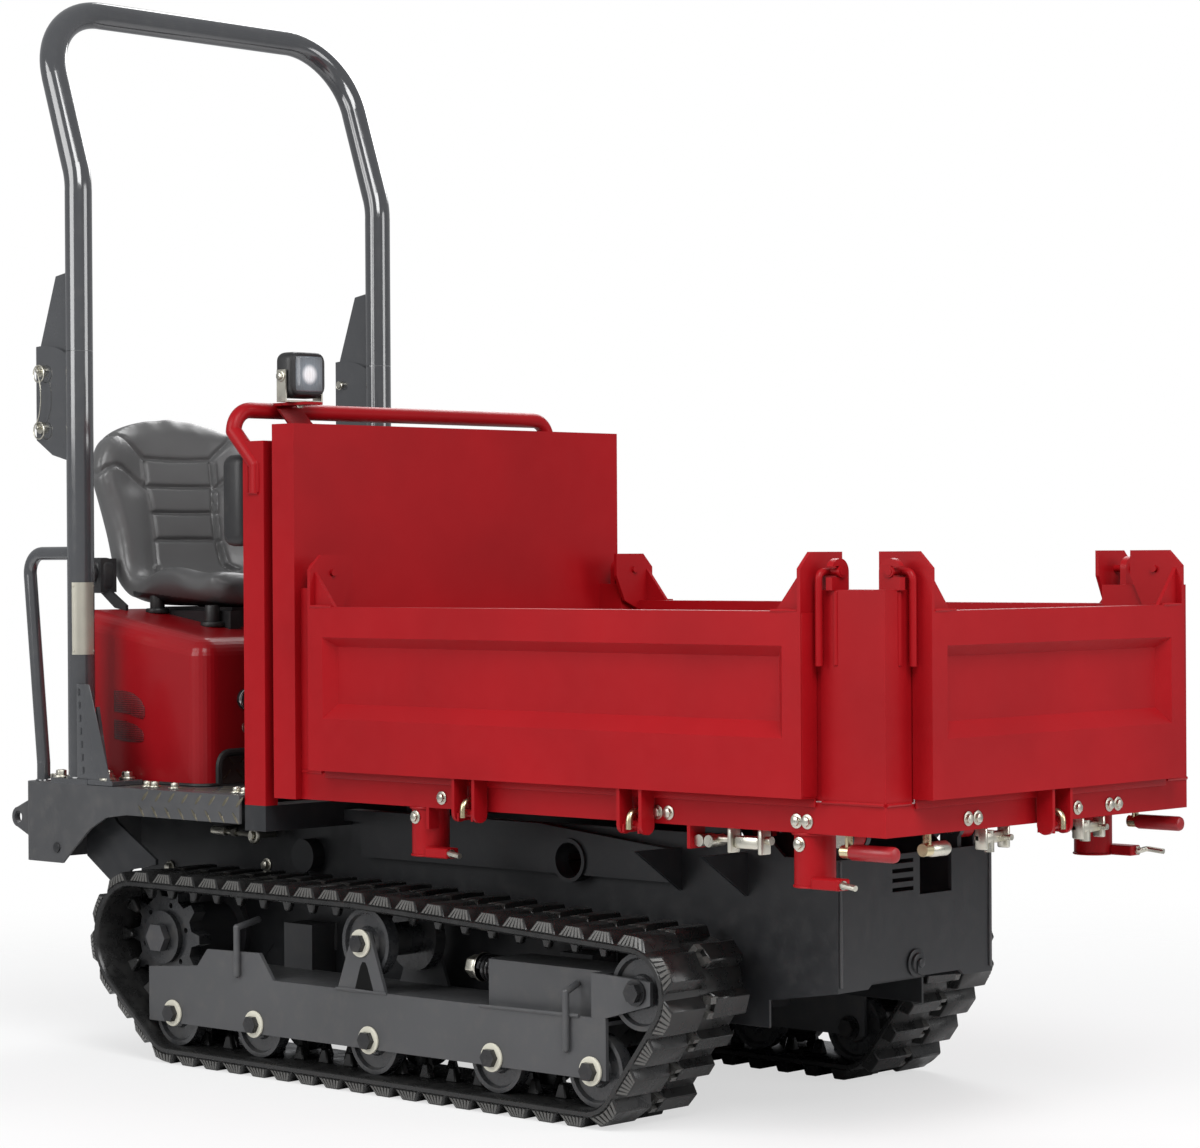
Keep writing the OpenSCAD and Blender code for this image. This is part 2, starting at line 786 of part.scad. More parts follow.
module tail_plate() {
    slot_z = [for (k = [0:3]) tail_plate_top - 72 + k * 18];
    difference() {
        bar_yz([tail_plate_x - wall, tail_plate_x])
            polygon([[-chassis_half + wall, tail_plate_top], [-chassis_half + wall, chassis_bot + 25],
                [-150, chassis_bot + 25], [-136, chassis_bot + 36], [136, chassis_bot + 36],
                [150, chassis_bot + 25], [chassis_half - wall, chassis_bot + 25],
                [chassis_half - wall, tail_plate_top]]);
        for (z = slot_z)
            box([tail_plate_x - 2 * wall, tail_plate_x + over], [-75, -10], [z, z + 8]);
        box([tail_plate_x - 2 * wall, tail_plate_x + over], [10, 110],
            [tail_plate_top - 82, tail_plate_top - 6]);
    }
    // Tow bolt
    translate([tail_plate_x, 0, chassis_bot + 55])
        rotate([0, 90, 0])
            cylinder(r = 17, h = 14, $fn = 6);
}

module chassis_frame() {
    color(dark_grey)
        union() {
            both_sides()
                chassis_brackets();
            tail_plate();
            box([sprocket_x + 170, tail_plate_x - 160], [-chassis_half + wall, chassis_half - wall],
                [chassis_bot, chassis_floor]);
            box([-chassis_back, -chassis_back + wall], [-chassis_half + wall, chassis_half - wall],
                [sprocket_z + 100, chassis_top + over]);
            // Risers under the deck and the beam under the guard posts
            for (x = [-chassis_back, deck_front - 80])
                box([x, x + 60], [-deck_half + 40, deck_half - 40], [chassis_top, deck_under]);
            box([guard_x, guard_front], [-guard_half, guard_half], [chassis_top - 34, guard_foot]);
        }
}

// Deck with its folded skirt and tie-down eyes

module round_rect(x, y, r) {
    translate([x[0] + r, y[0]])
        square([x[1] - x[0] - r, y[1] - y[0]]);
    translate([x[0], y[0] + r])
        square([x[1] - x[0], y[1] - y[0] - 2 * r]);
    for (c = [y[0] + r, y[1] - r])
        translate([x[0] + r, c])
            circle(r = r);
}

module deck() {
    w = [-deck_half, deck_half];
    eye_y = deck_half - deck_round;
    eye_z = skirt_z + 92;
    eye_out = 18;
    eye_x = -deck_back - eye_reach + norm([eye_r, eye_out]);
    skirt_t = deck_t;
    color(dark_grey)
        difference() {
            union() {
                translate([0, 0, deck_under])
                    linear_extrude(deck_t)
                        round_rect([-deck_back, deck_front], w, deck_round);
                intersection() {
                    translate([0, 0, skirt_z])
                        linear_extrude(deck_under - skirt_z)
                            difference() {
                                round_rect([-deck_back, deck_front], w, deck_round);
                                round_rect([-deck_back + skirt_t, deck_front + over],
                                    [w[0] + skirt_t, w[1] - skirt_t], deck_round - skirt_t);
                            }
                    plate_xz([-deck_half - over, deck_half + over])
                        polygon([[-deck_back - over, deck_under], [-deck_back - over, skirt_z],
                            [-26, skirt_z], [20, skirt_z + 40], [75, sill_edge_z - 36],
                            [130, sill_edge_z - 9], [200, sill_edge_z], [deck_front + over, sill_edge_z],
                            [deck_front + over, deck_under]]);
                }
                both_sides() {
                    plate_xz([eye_y - 16, eye_y])
                        polygon([[-deck_back + over, eye_z - 48], [-deck_back + over, eye_z + 48],
                            [eye_x - eye_r, eye_z + eye_out], [eye_x - eye_r, eye_z - eye_out]]);
                    along_y(norm([eye_r, eye_out]), eye_x, [eye_y - 16, eye_y], eye_z);
                }
            }
            both_sides()
                along_y(eye_r, eye_x, [eye_y - 40, deck_half], eye_z);
        }
}

// Power unit under the cover

module engine() {
    x = [-70, 170];
    y = [-180, 130];
    color([0.35, 0.36, 0.37])
        union() {
            box(x, y, [deck_z, deck_z + 200]);
            box([x[0] + 30, x[1] - 30], [y[0] + 20, y[1] - 20], [deck_z + 200, deck_z + 270]);
            along_y(95, 50, [y[1], y[1] + 40], deck_z + 110);
            for (k = [0:2])
                along_z(34, x[0] + 60 + k * 60, y[0] + 110, [deck_z + 270, deck_z + 296]);
        }
}

module hydraulic_pump() {
    color([0.3, 0.3, 0.32])
        union() {
            along_y(48, 50, [170, 290], deck_z + 110);
            box([14, 86], [200, 270], [deck_z, deck_z + 130]);
        }
}

module fuel_tank() {
    x = [guard_front + 50, guard_front + 350];
    inset = chassis_half - wall - 30;
    color(black)
        union() {
            box(x, [-inset, inset], [chassis_floor, chassis_floor + 190]);
            along_z(32, x[0] + 60, -inset + 60, [chassis_floor + 190, chassis_floor + 215]);
        }
}

module hydraulic_tank() {
    x = [guard_front + 380, guard_front + 580];
    inset = chassis_half - wall - 30;
    color(black)
        union() {
            box(x, [-inset, inset], [chassis_floor, chassis_floor + 190]);
            along_z(26, x[1] - 60, inset - 60, [chassis_floor + 190, chassis_floor + 212]);
        }
}

// Engine cover: a rounded shell open below, with a toe recess in its front face

cover_ends = [-cover_back + cover_round, cover_front - cover_round];
cover_slope = cover_fall / (cover_ends[1] - cover_ends[0]);
// Height of the cover's falling top at a place along the machine
function cover_at(x) = cover_top - cover_slope * (x - cover_ends[0]);

module cover_form(inset) {
    r = cover_round - inset;
    drop = cover_round * norm([1, cover_slope]);
    hull()
        for (x = cover_ends, y = [-cover_half + cover_round, cover_half - cover_round]) {
            translate([x, y, cover_at(x) - drop])
                sphere(r = r, $fn = 32);
            translate([x, y, deck_z])
                cylinder(r = r, h = 20, $fn = 32);
        }
}

module engine_cover() {
    toe_w = cover_half - cover_round - 3;
    toe_d = 60;
    toe_h = 72;
    color(red)
        difference() {
            cover_form(0);
            difference() {
                cover_form(cover_t);
                box([cover_front - toe_d - cover_t, cover_front + over], [-toe_w - cover_t, toe_w + cover_t],
                    [deck_z - over, deck_z + toe_h + cover_t]);
            }
            box([-cover_back, cover_front], [-cover_half, cover_half], [deck_z - over, deck_z]);
            box([cover_front - toe_d, cover_front + over], [-toe_w, toe_w], [deck_z - over, deck_z + toe_h]);
        }
}

// Seat: a bucket form swept from the cushion's front edge up the backrest

seat_base_top = cover_top + seat_base_h;
seat_t = 40;
seat_lift = 0.3;
back_lean = 9;
bend_r = 90;
bend_deg = 90 - back_lean;
bend_len = bend_r * bend_deg * PI / 180;
seat_run = seat_len + bend_len + back_len;
seat_z = seat_base_top + seat_lift + seat_t;
// Middle line of the upholstered face: x, z and the direction that it faces
function seat_line(t) = let (x1 = seat_front - seat_len, a = (t - seat_len) / bend_r * 180 / PI)
    t <= seat_len ? [seat_front - t, seat_z, 0]
    : t <= seat_len + bend_len ? [x1 - bend_r * sin(a), seat_z + bend_r * (1 - cos(a)), a]
    : let (u = t - seat_len - bend_len)
        [x1 - bend_r * sin(bend_deg) - u * cos(bend_deg),
            seat_z + bend_r * (1 - cos(bend_deg)) + u * sin(bend_deg), bend_deg];
function ramp(v, a, b) = let (u = min(1, max(0, (v - a) / (b - a)))) u * u * (3 - 2 * u);
// Side bolsters rise towards the edges, and the backrest has four sewn channels
channel_n = 4;
channel_step = 64;
channel_low = 302;
channel_v = 0.38;
channel_ts = [for (k = [0:channel_n - 1]) seat_run - channel_low + k * channel_step];
channel_end = channel_ts[channel_n - 1] + 24;
function channel(t, v) = abs(v) > channel_v ? 0
    : 9 * max([for (c = channel_ts) max(0, 1 - abs(t - c) / 9)]);
function bolster(t, v) = (20 + 28 * ramp(t, seat_len * 0.5, seat_len + bend_len)) * ramp(abs(v), 0.5, 0.92);
// Rings are closer at the channels
seat_ts = concat([for (k = [0:9]) seat_len * k / 10], [for (k = [0:5]) seat_len + bend_len * k / 6],
    [for (c = channel_ts, d = [-24, -9, 0, 9]) c + d],
    [for (k = [0:5]) channel_end + (seat_run - channel_end) * k / 5]);
seat_sides = 28;
function end_swell(t) = let (e = 34, d = min(t, seat_run - t))
    d >= e ? 1 : sqrt(1 - pow(1 - d / e, 2)) * 0.9 + 0.1;
// The backrest widens to its shoulders, above which its top edge is crowned
shoulder = 34;
crown = 62;
function seat_width(t) = let (wide = shoulder * ramp(t, seat_len + bend_len, seat_run - 120))
    (seat_half + wide) * (1 - 0.1 * ramp(t, seat_run - 100, seat_run)) * (0.86 + 0.14 * end_swell(t));
function crowned(t, v) = t - crown * pow(abs(v), 2.4) * ramp(t, seat_run - 230, seat_run);
function seat_ring(t) = let (s = end_swell(t), w = seat_width(t))
    [for (j = [0:seat_sides - 1])
        let (a = j * 360 / seat_sides, v = sign(cos(a)) * pow(abs(cos(a)), 0.55),
            q = sign(sin(a)) * pow(abs(sin(a)), 0.6),
            h = q >= 0 ? q * s * (6 - channel(t, v)) + s * bolster(t, v)
                : q * s * seat_t + s * bolster(t, v) * (1 + q),
            m = seat_line(crowned(t, v)))
        [m[0] + h * sin(m[2]), v * w, m[1] + h * cos(m[2])]];

// The backrest or the tie-down eyes reach furthest back, and the middle of the whole is the origin
seat_back = min([for (t = seat_ts, p = seat_ring(t)) p[0]]);
rear_end = min(seat_back, -deck_back - eye_reach);
mid_x = (tail_end + rear_end) / 2;

module seat() {
    n = seat_sides;
    last = len(seat_ts) - 1;
    pts = [for (t = seat_ts) each seat_ring(t)];
    skin = [for (k = [0:last - 1], j = [0:n - 1])
        let (a = k * n + j, b = k * n + (j + 1) % n)
        each [[a, b, a + n], [b, b + n, a + n]]];
    caps = concat([for (j = [1:n - 2]) [0, j + 1, j]],
        [for (j = [1:n - 2]) let (e = last * n) [e, e + j, e + j + 1]]);
    color([0.37, 0.37, 0.37])
        polyhedron(pts, concat(skin, caps));
}

// Outline of a block that stands on the cover's falling top
module on_cover(x, top) {
    polygon([[x[0], cover_at(x[0])], [x[1], cover_at(x[1])], [x[1], top], [x[0], top]]);
}

module seat_base() {
    x = [seat_front - seat_len + 20, seat_front - 60];
    color(black)
        union() {
            plate_xz([-seat_half + 80, seat_half - 80])
                on_cover(x, seat_base_top);
            for (y = [-seat_half + 50, seat_half - 80])
                plate_xz([y, y + 30])
                    on_cover([x[0] + 60, x[1] + 30], seat_base_top - 8);
        }
}

// Belt retractor on the right and buckle stalk on the left of the seat base
module seat_belt() {
    x = seat_front - seat_len + 30;
    y = seat_half + 4;
    color(black)
        union() {
            box([x - 145, x - 75], [-y - 46, -y], [cover_top + 38, cover_top + 116]);
            plate_xz([-y - 26, -y - 18])
                polygon([[x - 50, cover_at(x - 50)], [x - 10, cover_at(x - 10)], [x - 10, cover_top + 8],
                    [x - 75, cover_top + 46], [x - 115, cover_top + 46]]);
            box([x + 28, x + 56], [y, y + 16], [cover_top + 8, cover_top + 88]);
            plate_xz([y + 4, y + 12])
                on_cover([x + 36, x + 48], cover_top + 8);
        }
}

// Roll bar

plate_gap = 1;
cheek_t = 8;
base_t = 12;
base_len = 130;

module rops_post() {
    cheeks = [[fold_t / 2 + plate_gap, fold_t / 2 + plate_gap + cheek_t],
        [-fold_t / 2 - plate_gap - cheek_t, -fold_t / 2 - plate_gap]];
    // The hoop's tube end sweeps outside this radius about the fold pin
    sweep_r = norm([fold_back - rops_r, split_z - fold_z]) - 3;
    difference() {
        union() {
            along_z(rops_r, 0, post_y, [deck_z + base_t, split_z]);
            box([-base_len / 2, base_len / 2], [post_y - 50, deck_half], [deck_z, deck_z + base_t]);
            for (y = [-30, 22])
                plate_xz([post_y + y, post_y + y + 8])
                    polygon([[rops_r - 8, deck_z + base_t], [base_len / 2 - 6, deck_z + base_t],
                        [rops_r - 4, deck_z + 170], [rops_r - 8, deck_z + 170]]);
            for (c = cheeks)
                intersection() {
                    plate_xz([post_y + c[0], post_y + c[1]])
                        polygon([[-rops_r + 4, fold_z - 75], [-fold_back + 35, fold_z - 62],
                            [-fold_back - 23, fold_z - 27], [-fold_back - 23, split_z + 20],
                            [-rops_r + 4, split_z + 20]]);
                    union() {
                        along_y(sweep_r, -fold_back, [post_y - 40, post_y + 40], fold_z);
                        box([-fold_back - 40, 0], [post_y - 40, post_y + 40], [fold_z - 90, fold_z]);
                    }
                }
        }
        for (z = [fold_z, lock_z])
            along_y(rops_pin_r + bolt_fit, -fold_back, [post_y - 40, post_y + 40], z);
    }
}

module rops_posts() {
    color(dark_grey)
        both_sides()
            rops_post();
}

// Half of the hoop: straight, lean bend, leaning leg and corner, up to the middle of the top bar
module hoop_half() {
    bend = 160;
    bend_z = lean_z - bend * tan(lean_deg / 2);
    top_y = post_y - hoop_round;
    along_z(rops_r, 0, post_y, [split_z + plate_gap, bend_z]);
    translate([-bend, post_y, bend_z])
        rotate([90, 0, 0])
            tube_bend(rops_r, bend, lean_deg);
    translate([-bend, 0, bend_z])
        rotate([0, -lean_deg, 0])
            translate([bend, 0, 0]) {
                leg = lean_len - hoop_round - bend * tan(lean_deg / 2);
                along_z(rops_r, 0, post_y, [0, leg]);
                translate([0, top_y, leg])
                    rotate([90, 0, 90])
                        tube_bend(rops_r, hoop_round, 90);
                along_y(rops_r, 0, [0, top_y], leg + hoop_round);
            }
}

// Plate on the hoop that folds between the post's cheeks; its lock slot is open to the front
module fold_plate() {
    ring = lock_z - fold_z;
    difference() {
        plate_xz([post_y - fold_t / 2, post_y + fold_t / 2])
            polygon([[-fold_back - 20, fold_z - 12], [-fold_back + 16, fold_z - 20],
                [-fold_back + 30, fold_z], [-rops_r - 8, lock_z - 60], [-rops_r - 8, split_z + plate_gap],
                [-rops_r + 4, split_z + plate_gap], [-rops_r + 4, split_z + 180],
                [-rops_r - 46, split_z + 172],
                [-fold_back - 17, split_z + 20]]);
        along_y(rops_pin_r + run_fit, -fold_back, [post_y - 40, post_y + 40], fold_z);
        intersection() {
            difference() {
                along_y(ring + rops_pin_r + 1, -fold_back, [post_y - 40, post_y + 40], fold_z);
                along_y(ring - rops_pin_r - 1, -fold_back, [post_y - 41, post_y + 41], fold_z);
            }
            box([-fold_back - rops_pin_r - 1, 0], [post_y - 40, post_y + 40], [fold_z, lock_z + 40]);
        }
    }
}

module rops_hoop() {
    color(dark_grey)
        both_sides() {
            hoop_half();
            fold_plate();
        }
}

// Fold and lock pins with their heads
module rops_pins() {
    out = fold_t / 2 + plate_gap + cheek_t;
    color(zinc)
        both_sides()
            for (z = [fold_z, lock_z]) {
                along_y(rops_pin_r, -fold_back, [post_y - out - 12, post_y + out], z);
                along_y(rops_pin_r + 5, -fold_back, [post_y + out, post_y + out + 8], z);
            }
}

// Tube rails at the rear corners of the deck
module handrails() {
    top = 1102;
    bend = 44;
    foot = [-deck_back + 30, deck_z + 40];
    // The leg leans forward a little below its bend
    lean = 6;
    bend_x = foot.x - (top - bend - foot.y) * tan(lean) + bend / cos(lean);
    leg = [bend_x - bend * cos(lean), top - bend - bend * sin(lean)];
    color(dark_grey)
        both_sides() {
            along_x(handrail_r, [bend_x, -rops_r], post_y, top);
            translate([bend_x, post_y, top - bend])
                rotate([90, 0, 0])
                    rotate([0, 0, 90])
                        tube_bend(handrail_r, bend, 90 + lean);
            rod([leg.x, post_y, leg.y], [foot.x, post_y, foot.y], handrail_r);
            along_z(handrail_r, foot.x, post_y, [deck_z, foot.y]);
        }
}

// Guard frame between the operator and the bed, with the grab rail on top

module guard_frame() {
    rail_x = guard_x - 40;
    leg_x = guard_x + guard_post / 2;
    bend = 45;
    wide = 34;
    y = guard_half - 10;
    panel_x = guard_front - 22;
    color(red)
        union() {
            both_sides() {
                box([guard_x, guard_front], [guard_half - wide, guard_half], [guard_foot, guard_top]);
                rod([leg_x, y, guard_top - 110], [leg_x, y, guard_top - 50], grab_r);
                rod([leg_x, y, guard_top - 50], [rail_x, y, grab_z - bend], grab_r);
                translate([rail_x, y - bend, grab_z - bend])
                    rotate([90, 0, 90])
                        tube_bend(grab_r, bend, 90);
                along_y(grab_r, rail_x, [0, y - bend], grab_z);
            }
            box([panel_x, panel_x + 4], [-guard_half + over, guard_half - over],
                [guard_foot + 70, guard_top - 20]);
            // Bracket for the work light
            box([rail_x, guard_x + 70], [-light_y - 24, -light_y + 24],
                [grab_z + grab_r - 6, grab_z + grab_r]);
        }
}

// Work light in its U strap

light_x = guard_x + 24;
strap_z = grab_z + grab_r;
light_z = strap_z + 4 + norm([light_h, light_d]) / 2;
strap_t = 4;
strap_in = light_w / 2 + 3;

module light_strap() {
    color(zinc)
        difference() {
            union() {
                box([light_x - 14, light_x + 14], [-light_y - strap_in - strap_t,
                    -light_y + strap_in + strap_t],
                    [strap_z, strap_z + strap_t]);
                for (y = [-strap_in - strap_t, strap_in])
                    box([light_x - 14, light_x + 14], [-light_y + y, -light_y + y + strap_t],
                        [strap_z, light_z + 14]);
            }
            along_y(6 + run_fit, light_x, [-light_y - light_w, -light_y + light_w], light_z);
        }
}

module work_light() {
    wall_t = 5;
    x = [light_x - light_d / 2, light_x + light_d / 2];
    w = light_w / 2;
    h = light_h / 2;
    color(black)
        union() {
            difference() {
                box(x, [-light_y - w, -light_y + w], [light_z - h, light_z + h]);
                box([x[1] - 14, x[1] + over], [-light_y - w + wall_t, -light_y + w - wall_t],
                    [light_z - h + wall_t, light_z + h - wall_t]);
            }
            along_y(6, light_x, [-light_y - strap_in - strap_t - 6, -light_y - w], light_z);
            along_y(6, light_x, [-light_y + w, -light_y + strap_in + strap_t + 6], light_z);
        }
}

module work_light_lens() {
    x1 = light_x + light_d / 2;
    w = light_w / 2 - 5;
    h = light_h / 2 - 5;
    color([0.85, 0.9, 0.95, 0.5])
        box([x1 - 14, x1 - 2], [-light_y - w, -light_y + w], [light_z - h, light_z + h]);
}

// Lever console on the guard panel, with the monitor pod beside it

lever_z = 1120;
lever_x = guard_x - 75;
console_x = [guard_x - 130, guard_front - 22];
console_y = 190;
lever_ys = [-150, -60, 60];
lever_pin_r = 8;

module console() {
    color(black)
        union() {
            difference() {
                box(console_x, [-console_y, console_y], [lever_z - 220, lever_z + 30]);
                for (y = lever_ys)
                    box([lever_x - 60, lever_x + 60], [y - 16, y + 16], [lever_z - 60, lever_z + 30 + over]);
            }
            for (y = lever_ys)
                along_y(lever_pin_r, lever_x, [y - 17, y + 17], lever_z - 20);
            box([guard_x - 60, console_x[1]], [-guard_half + 50, -console_y], [lever_z + 10, lever_z + 30]);
            box([guard_x - 60, guard_x - 20], [-guard_half + 50, -guard_half + 160],
                [lever_z + 30, lever_z + 210]);
        }
}

module hand_lever(y) {
    color(black)
        difference() {
            union() {
                along_y(18, lever_x, [y - 8, y + 8], lever_z - 20);
                along_z(7, lever_x, y, [lever_z - 10, lever_z + 140]);
                along_z(15, lever_x, y, [lever_z + 140, lever_z + 205]);
                translate([lever_x, y, lever_z + 205])
                    sphere(r = 15);
            }
            along_y(lever_pin_r + run_fit, lever_x, [y - 20, y + 20], lever_z - 20);
        }
}

// Load bed: floor, channel sills, posts and the sockets below the sills

module sill(x, hooks, ribs, rib_drop, lever) {
    // A channel along local x with its web at local y = 0 and its flange inwards
    web = 6;
    flange = 42;
    under = floor_z - floor_t;
    difference() {
        union() {
            box(x, [-web, 0], [sill_z, under]);
            box(x, [-flange, 0], [sill_z, sill_z + web]);
            for (r = ribs)
                box([r, r + 8], [-flange, 0], [sill_z - rib_drop, under]);
        }
        for (h = hooks)
            box([h - hook_room, h + hook_room], [-web - over, over], [hook_z - 14, under - 1]);
        for (r = ribs)
            along_x(bar_r + run_fit, [r - over, r + 8 + over], board_gap - bar_in, bar_z);
        // Slot that the release lever swings in
        box([lever - 3, lever + lever_t + 3], [-flange - over, -web], [sill_z - over, sill_z + web + over]);
    }
    for (h = hooks, e = [hook_room + 1, -hook_room - 1 - saddle_t])
        hinge_saddle(h + e);
}

// Half bearing below the sill that a board's hinge pin lies in, under the hook
module hinge_saddle(x) {
    y = hinge_out + board_gap;
    foot = 4;
    difference() {
        bar_yz([x, x + saddle_t])
            polygon([[-over, hinge_pin_z - 15], [y + 13, hinge_pin_z - 15], [y + 13, hinge_pin_z],
                [foot, hinge_pin_z], [foot, sill_z + 30], [-over, sill_z + 30]]);
        along_x(board_pin_r + run_fit, [x - over, x + saddle_t + over], y, hinge_pin_z);
    }
}

side_ribs = [side_x0 + 300, side_x0 + 1000];
tail_ribs = [-200, 192];
bed_ribs = 7;
rib_step = (bed_tail - bed_front) / (bed_ribs + 1);

module latch_lug() {
    // Plate on a post; local x is the pin's direction, its slot is open outwards
    y = -pin_in;
    slot = latch_r + latch_room;
    difference() {
        union() {
            box([0, lug_t], [y - lug_r, y + lug_r], [post_top - over, latch_z]);
            along_x(lug_r, [0, lug_t], y, latch_z);
        }
        along_x(slot, [-over, lug_t + over], y, latch_z);
        box([-over, lug_t + over], [y, y + lug_r + over], [latch_z - slot, latch_z + slot]);
    }
}

module corner_post() {
    x = [bed_tail - post_len, bed_tail];
    y = [bed_half - post_w, bed_half];
    difference() {
        box(x, y, [floor_z, post_top]);
        box([x[0] + sheet, x[1] - sheet], [y[0] + sheet, y[1] - sheet], [floor_z - over, post_top - sheet]);
    }
    translate([side_x0 + side_len + lug_at, bed_half + board_gap, 0])
        latch_lug();
    on_tail()
        translate([tail_len / 2 + lug_at, 0, 0])
            latch_lug();
}

module front_post() {
    x = [bed_front, bed_front + front_post_len];
    y = [bed_half - 44, bed_half];
    difference() {
        box(x, y, [floor_z, post_top]);
        box([x[0] + sheet, x[1] - sheet], [y[0] + sheet, y[1] - sheet], [floor_z - over, post_top - sheet]);
    }
    translate([side_x0 - lug_at - lug_t, bed_half + board_gap, 0])
        latch_lug();
}

// Turns local board axes (x along, y out) to the tail: along +Y, out +X
module on_tail() {
    translate([bed_tail + board_gap, 0, 0])
        rotate([0, 0, 90])
            mirror([0, 1, 0])
                children();
}

module bed_frame() {
    color(red)
        union() {
            box([bed_front, bed_tail], [-bed_half, bed_half], [floor_z - floor_t, floor_z]);
            both_sides() {
                translate([0, bed_half, 0])
                    sill([bed_front, bed_tail], [for (h = side_hooks) side_x0 + h], side_ribs, 43, lever_at);
                corner_post();
                front_post();
                box([bed_front, bed_tail - 60], [stringer_y, stringer_y + 40],
                    [sill_z + 2, floor_z - floor_t]);
                for (x = [side_x0 + 272, bed_tail - 195])
                    along_z(socket_r, x, bed_half - socket_r - 2, [sill_z - 100, sill_z]);
                // Lugs that turn on the hinge pin, between the chassis ears
                difference() {
                    union() {
                        along_y(dump_lug_r - 2, dump_x, [dump_ear_y[0] + dump_ear_t + 1, dump_ear_y[1] - 1],
                            dump_z);
                        box([dump_x - 24, dump_x + 24], [dump_ear_y[0] + dump_ear_t + 1, dump_ear_y[1] - 1],
                            [dump_z, floor_z - floor_t]);
                    }
                    along_y(dump_pin_r + run_fit, dump_x, [dump_ear_y[0], dump_ear_y[1]], dump_z);
                }
                // Cheeks of the ram's upper pin
                difference() {
                    box([rod_pin_x - 26, rod_pin_x + 26], [ram_w / 2 + 4, ram_w / 2 + 16],
                        [rod_pin_z - 24, floor_z - floor_t]);
                    along_y(dump_pin_r, rod_pin_x, [0, ram_w], rod_pin_z);
                }
            }
            along_y(dump_pin_r, rod_pin_x, [-ram_w / 2 - 16, ram_w / 2 + 16], rod_pin_z);
            for (k = [1:bed_ribs])
                box([bed_front + k * rib_step - 4, bed_front + k * rib_step + 4], [-stringer_y, stringer_y],
                    [sill_z + 12, floor_z - floor_t]);
            box([bed_front, bed_front + 8], [-bed_half, bed_half], [sill_z, floor_z - floor_t]);
            translate([bed_tail, 0, 0])
                rotate([0, 0, 90])
                    mirror([0, 1, 0])
                        sill([-bed_half, bed_half], [0], tail_ribs, 0, tail_lever_at);
        }
}

module headboard() {
    t = 6;
    x = [bed_front - head_flange - t, bed_front];
    color(red)
        union() {
            box([x[1] - t, x[1]], [-head_half, head_half], [sill_z, head_top]);
            both_sides()
                box([x[0], x[1] - t], [head_half - t, head_half], [sill_z, head_top]);
            box([x[0], x[1] - t], [-head_half + t, head_half - t], [head_top - t, head_top]);
            box([x[0], x[1] - t], [-head_half + t, head_half - t], [sill_z, sill_z + t]);
        }
}

// Boards: a folded hat section with end plates whose ears carry the latch pins

module board_section() {
    o = board_t;
    i = board_t - press_d;
    rail = board_top - 62;
    band = board_bot + 107;
    difference() {
        polygon([[0, board_bot], [o, board_bot], [o, band], [i, band + 30], [i, rail - 20], [o, rail],
            [o, board_top], [0, board_top]]);
        polygon([[sheet, board_bot + sheet], [o - sheet, board_bot + sheet], [o - sheet, band - 2],
            [i - sheet, band + 28], [i - sheet, rail - 18], [o - sheet, rail + 2],
            [o - sheet, board_top - sheet], [sheet, board_top - sheet]]);
    }
}

module board_end() {
    // End plate with its ear; the outer top corner is cut off
    difference() {
        bar_yz([0, ear_t])
            polygon([[0, board_bot], [board_t, board_bot], [board_t, ear_top - 30], [board_t - 30, ear_top],
                [-pin_in - ear_w, ear_top], [-pin_in - ear_w, ear_top - 50], [-pin_in - 30, board_top],
                [0, board_top - 20]]);
        along_x(latch_r + run_fit, [-over, ear_t + over], -pin_in, latch_z);
    }
    // Flat border beside the pressed panel
    box([ear_t, ear_t + 36], [board_t - press_d, board_t], [board_bot + 60, board_top - 20]);
    translate([0, 0, board_bot + 60])
        linear_extrude(board_top - board_bot - 80)
            polygon([[ear_t + 36, board_t], [ear_t + 60, board_t - press_d],
                [ear_t + 36, board_t - press_d]]);
    // Brace from the rail to the ear
    plate_xz([board_t - 20, board_t - 12])
        polygon([[ear_t, board_top - 2], [ear_t + 62, board_top - 2], [ear_t, ear_top - 34]]);
}

module hinge_bracket(x) {
    for (dx = [-hook_pair / 2 - 8, hook_pair / 2]) {
        box([x + dx, x + dx + 8], [hinge_out - bracket_r, hinge_out + bracket_r],
            [hinge_pin_z, board_bot + over]);
        along_x(bracket_r, [x + dx, x + dx + 8], hinge_out, hinge_pin_z);
    }
    along_x(board_pin_r, [x - hook_pair / 2, x + hook_pair / 2], hinge_out, hinge_pin_z);
}

module board(length, hooks) {
    union() {
        bar_yz([ear_t, length - ear_t])
            board_section();
        board_end();
        translate([length, 0, 0])
            mirror([1, 0, 0])
                board_end();
        for (h = hooks)
            hinge_bracket(h);
    }
}

module side_board(side) {
    color(red)
        on_side(side)
            translate([side_x0, bed_half + board_gap, 0])
                board(side_len, side_hooks);
}

module tailgate() {
    color(red)
        on_tail()
            translate([-tail_len / 2, 0, 0])
                board(tail_len, [tail_len / 2]);
}

// Latch rod: the pin through ear and lug, a crank and the hanging handle
module latch_rod() {
    crank = 14;
    out = -pin_in + 30;
    along_x(latch_r, [-ear_t - 6, lug_at + lug_t + 4], -pin_in, latch_z);
    rod([crank, -pin_in, latch_z], [crank, out, latch_z], latch_r);
    rod([crank, out, latch_z], [crank, out, latch_z - latch_drop], latch_r);
}

module board_latches(side) {
    color(gold)
        on_side(side)
            translate([side_x0, bed_half + board_gap, 0]) {
                translate([side_len, 0, 0])
                    latch_rod();
                mirror([1, 0, 0])
                    latch_rod();
            }
}

module tailgate_latches() {
    color(gold)
        on_tail()
            for (m = [0, 1])
                mirror([m, 0, 0])
                    translate([tail_len / 2, 0, 0])
                        latch_rod();
}

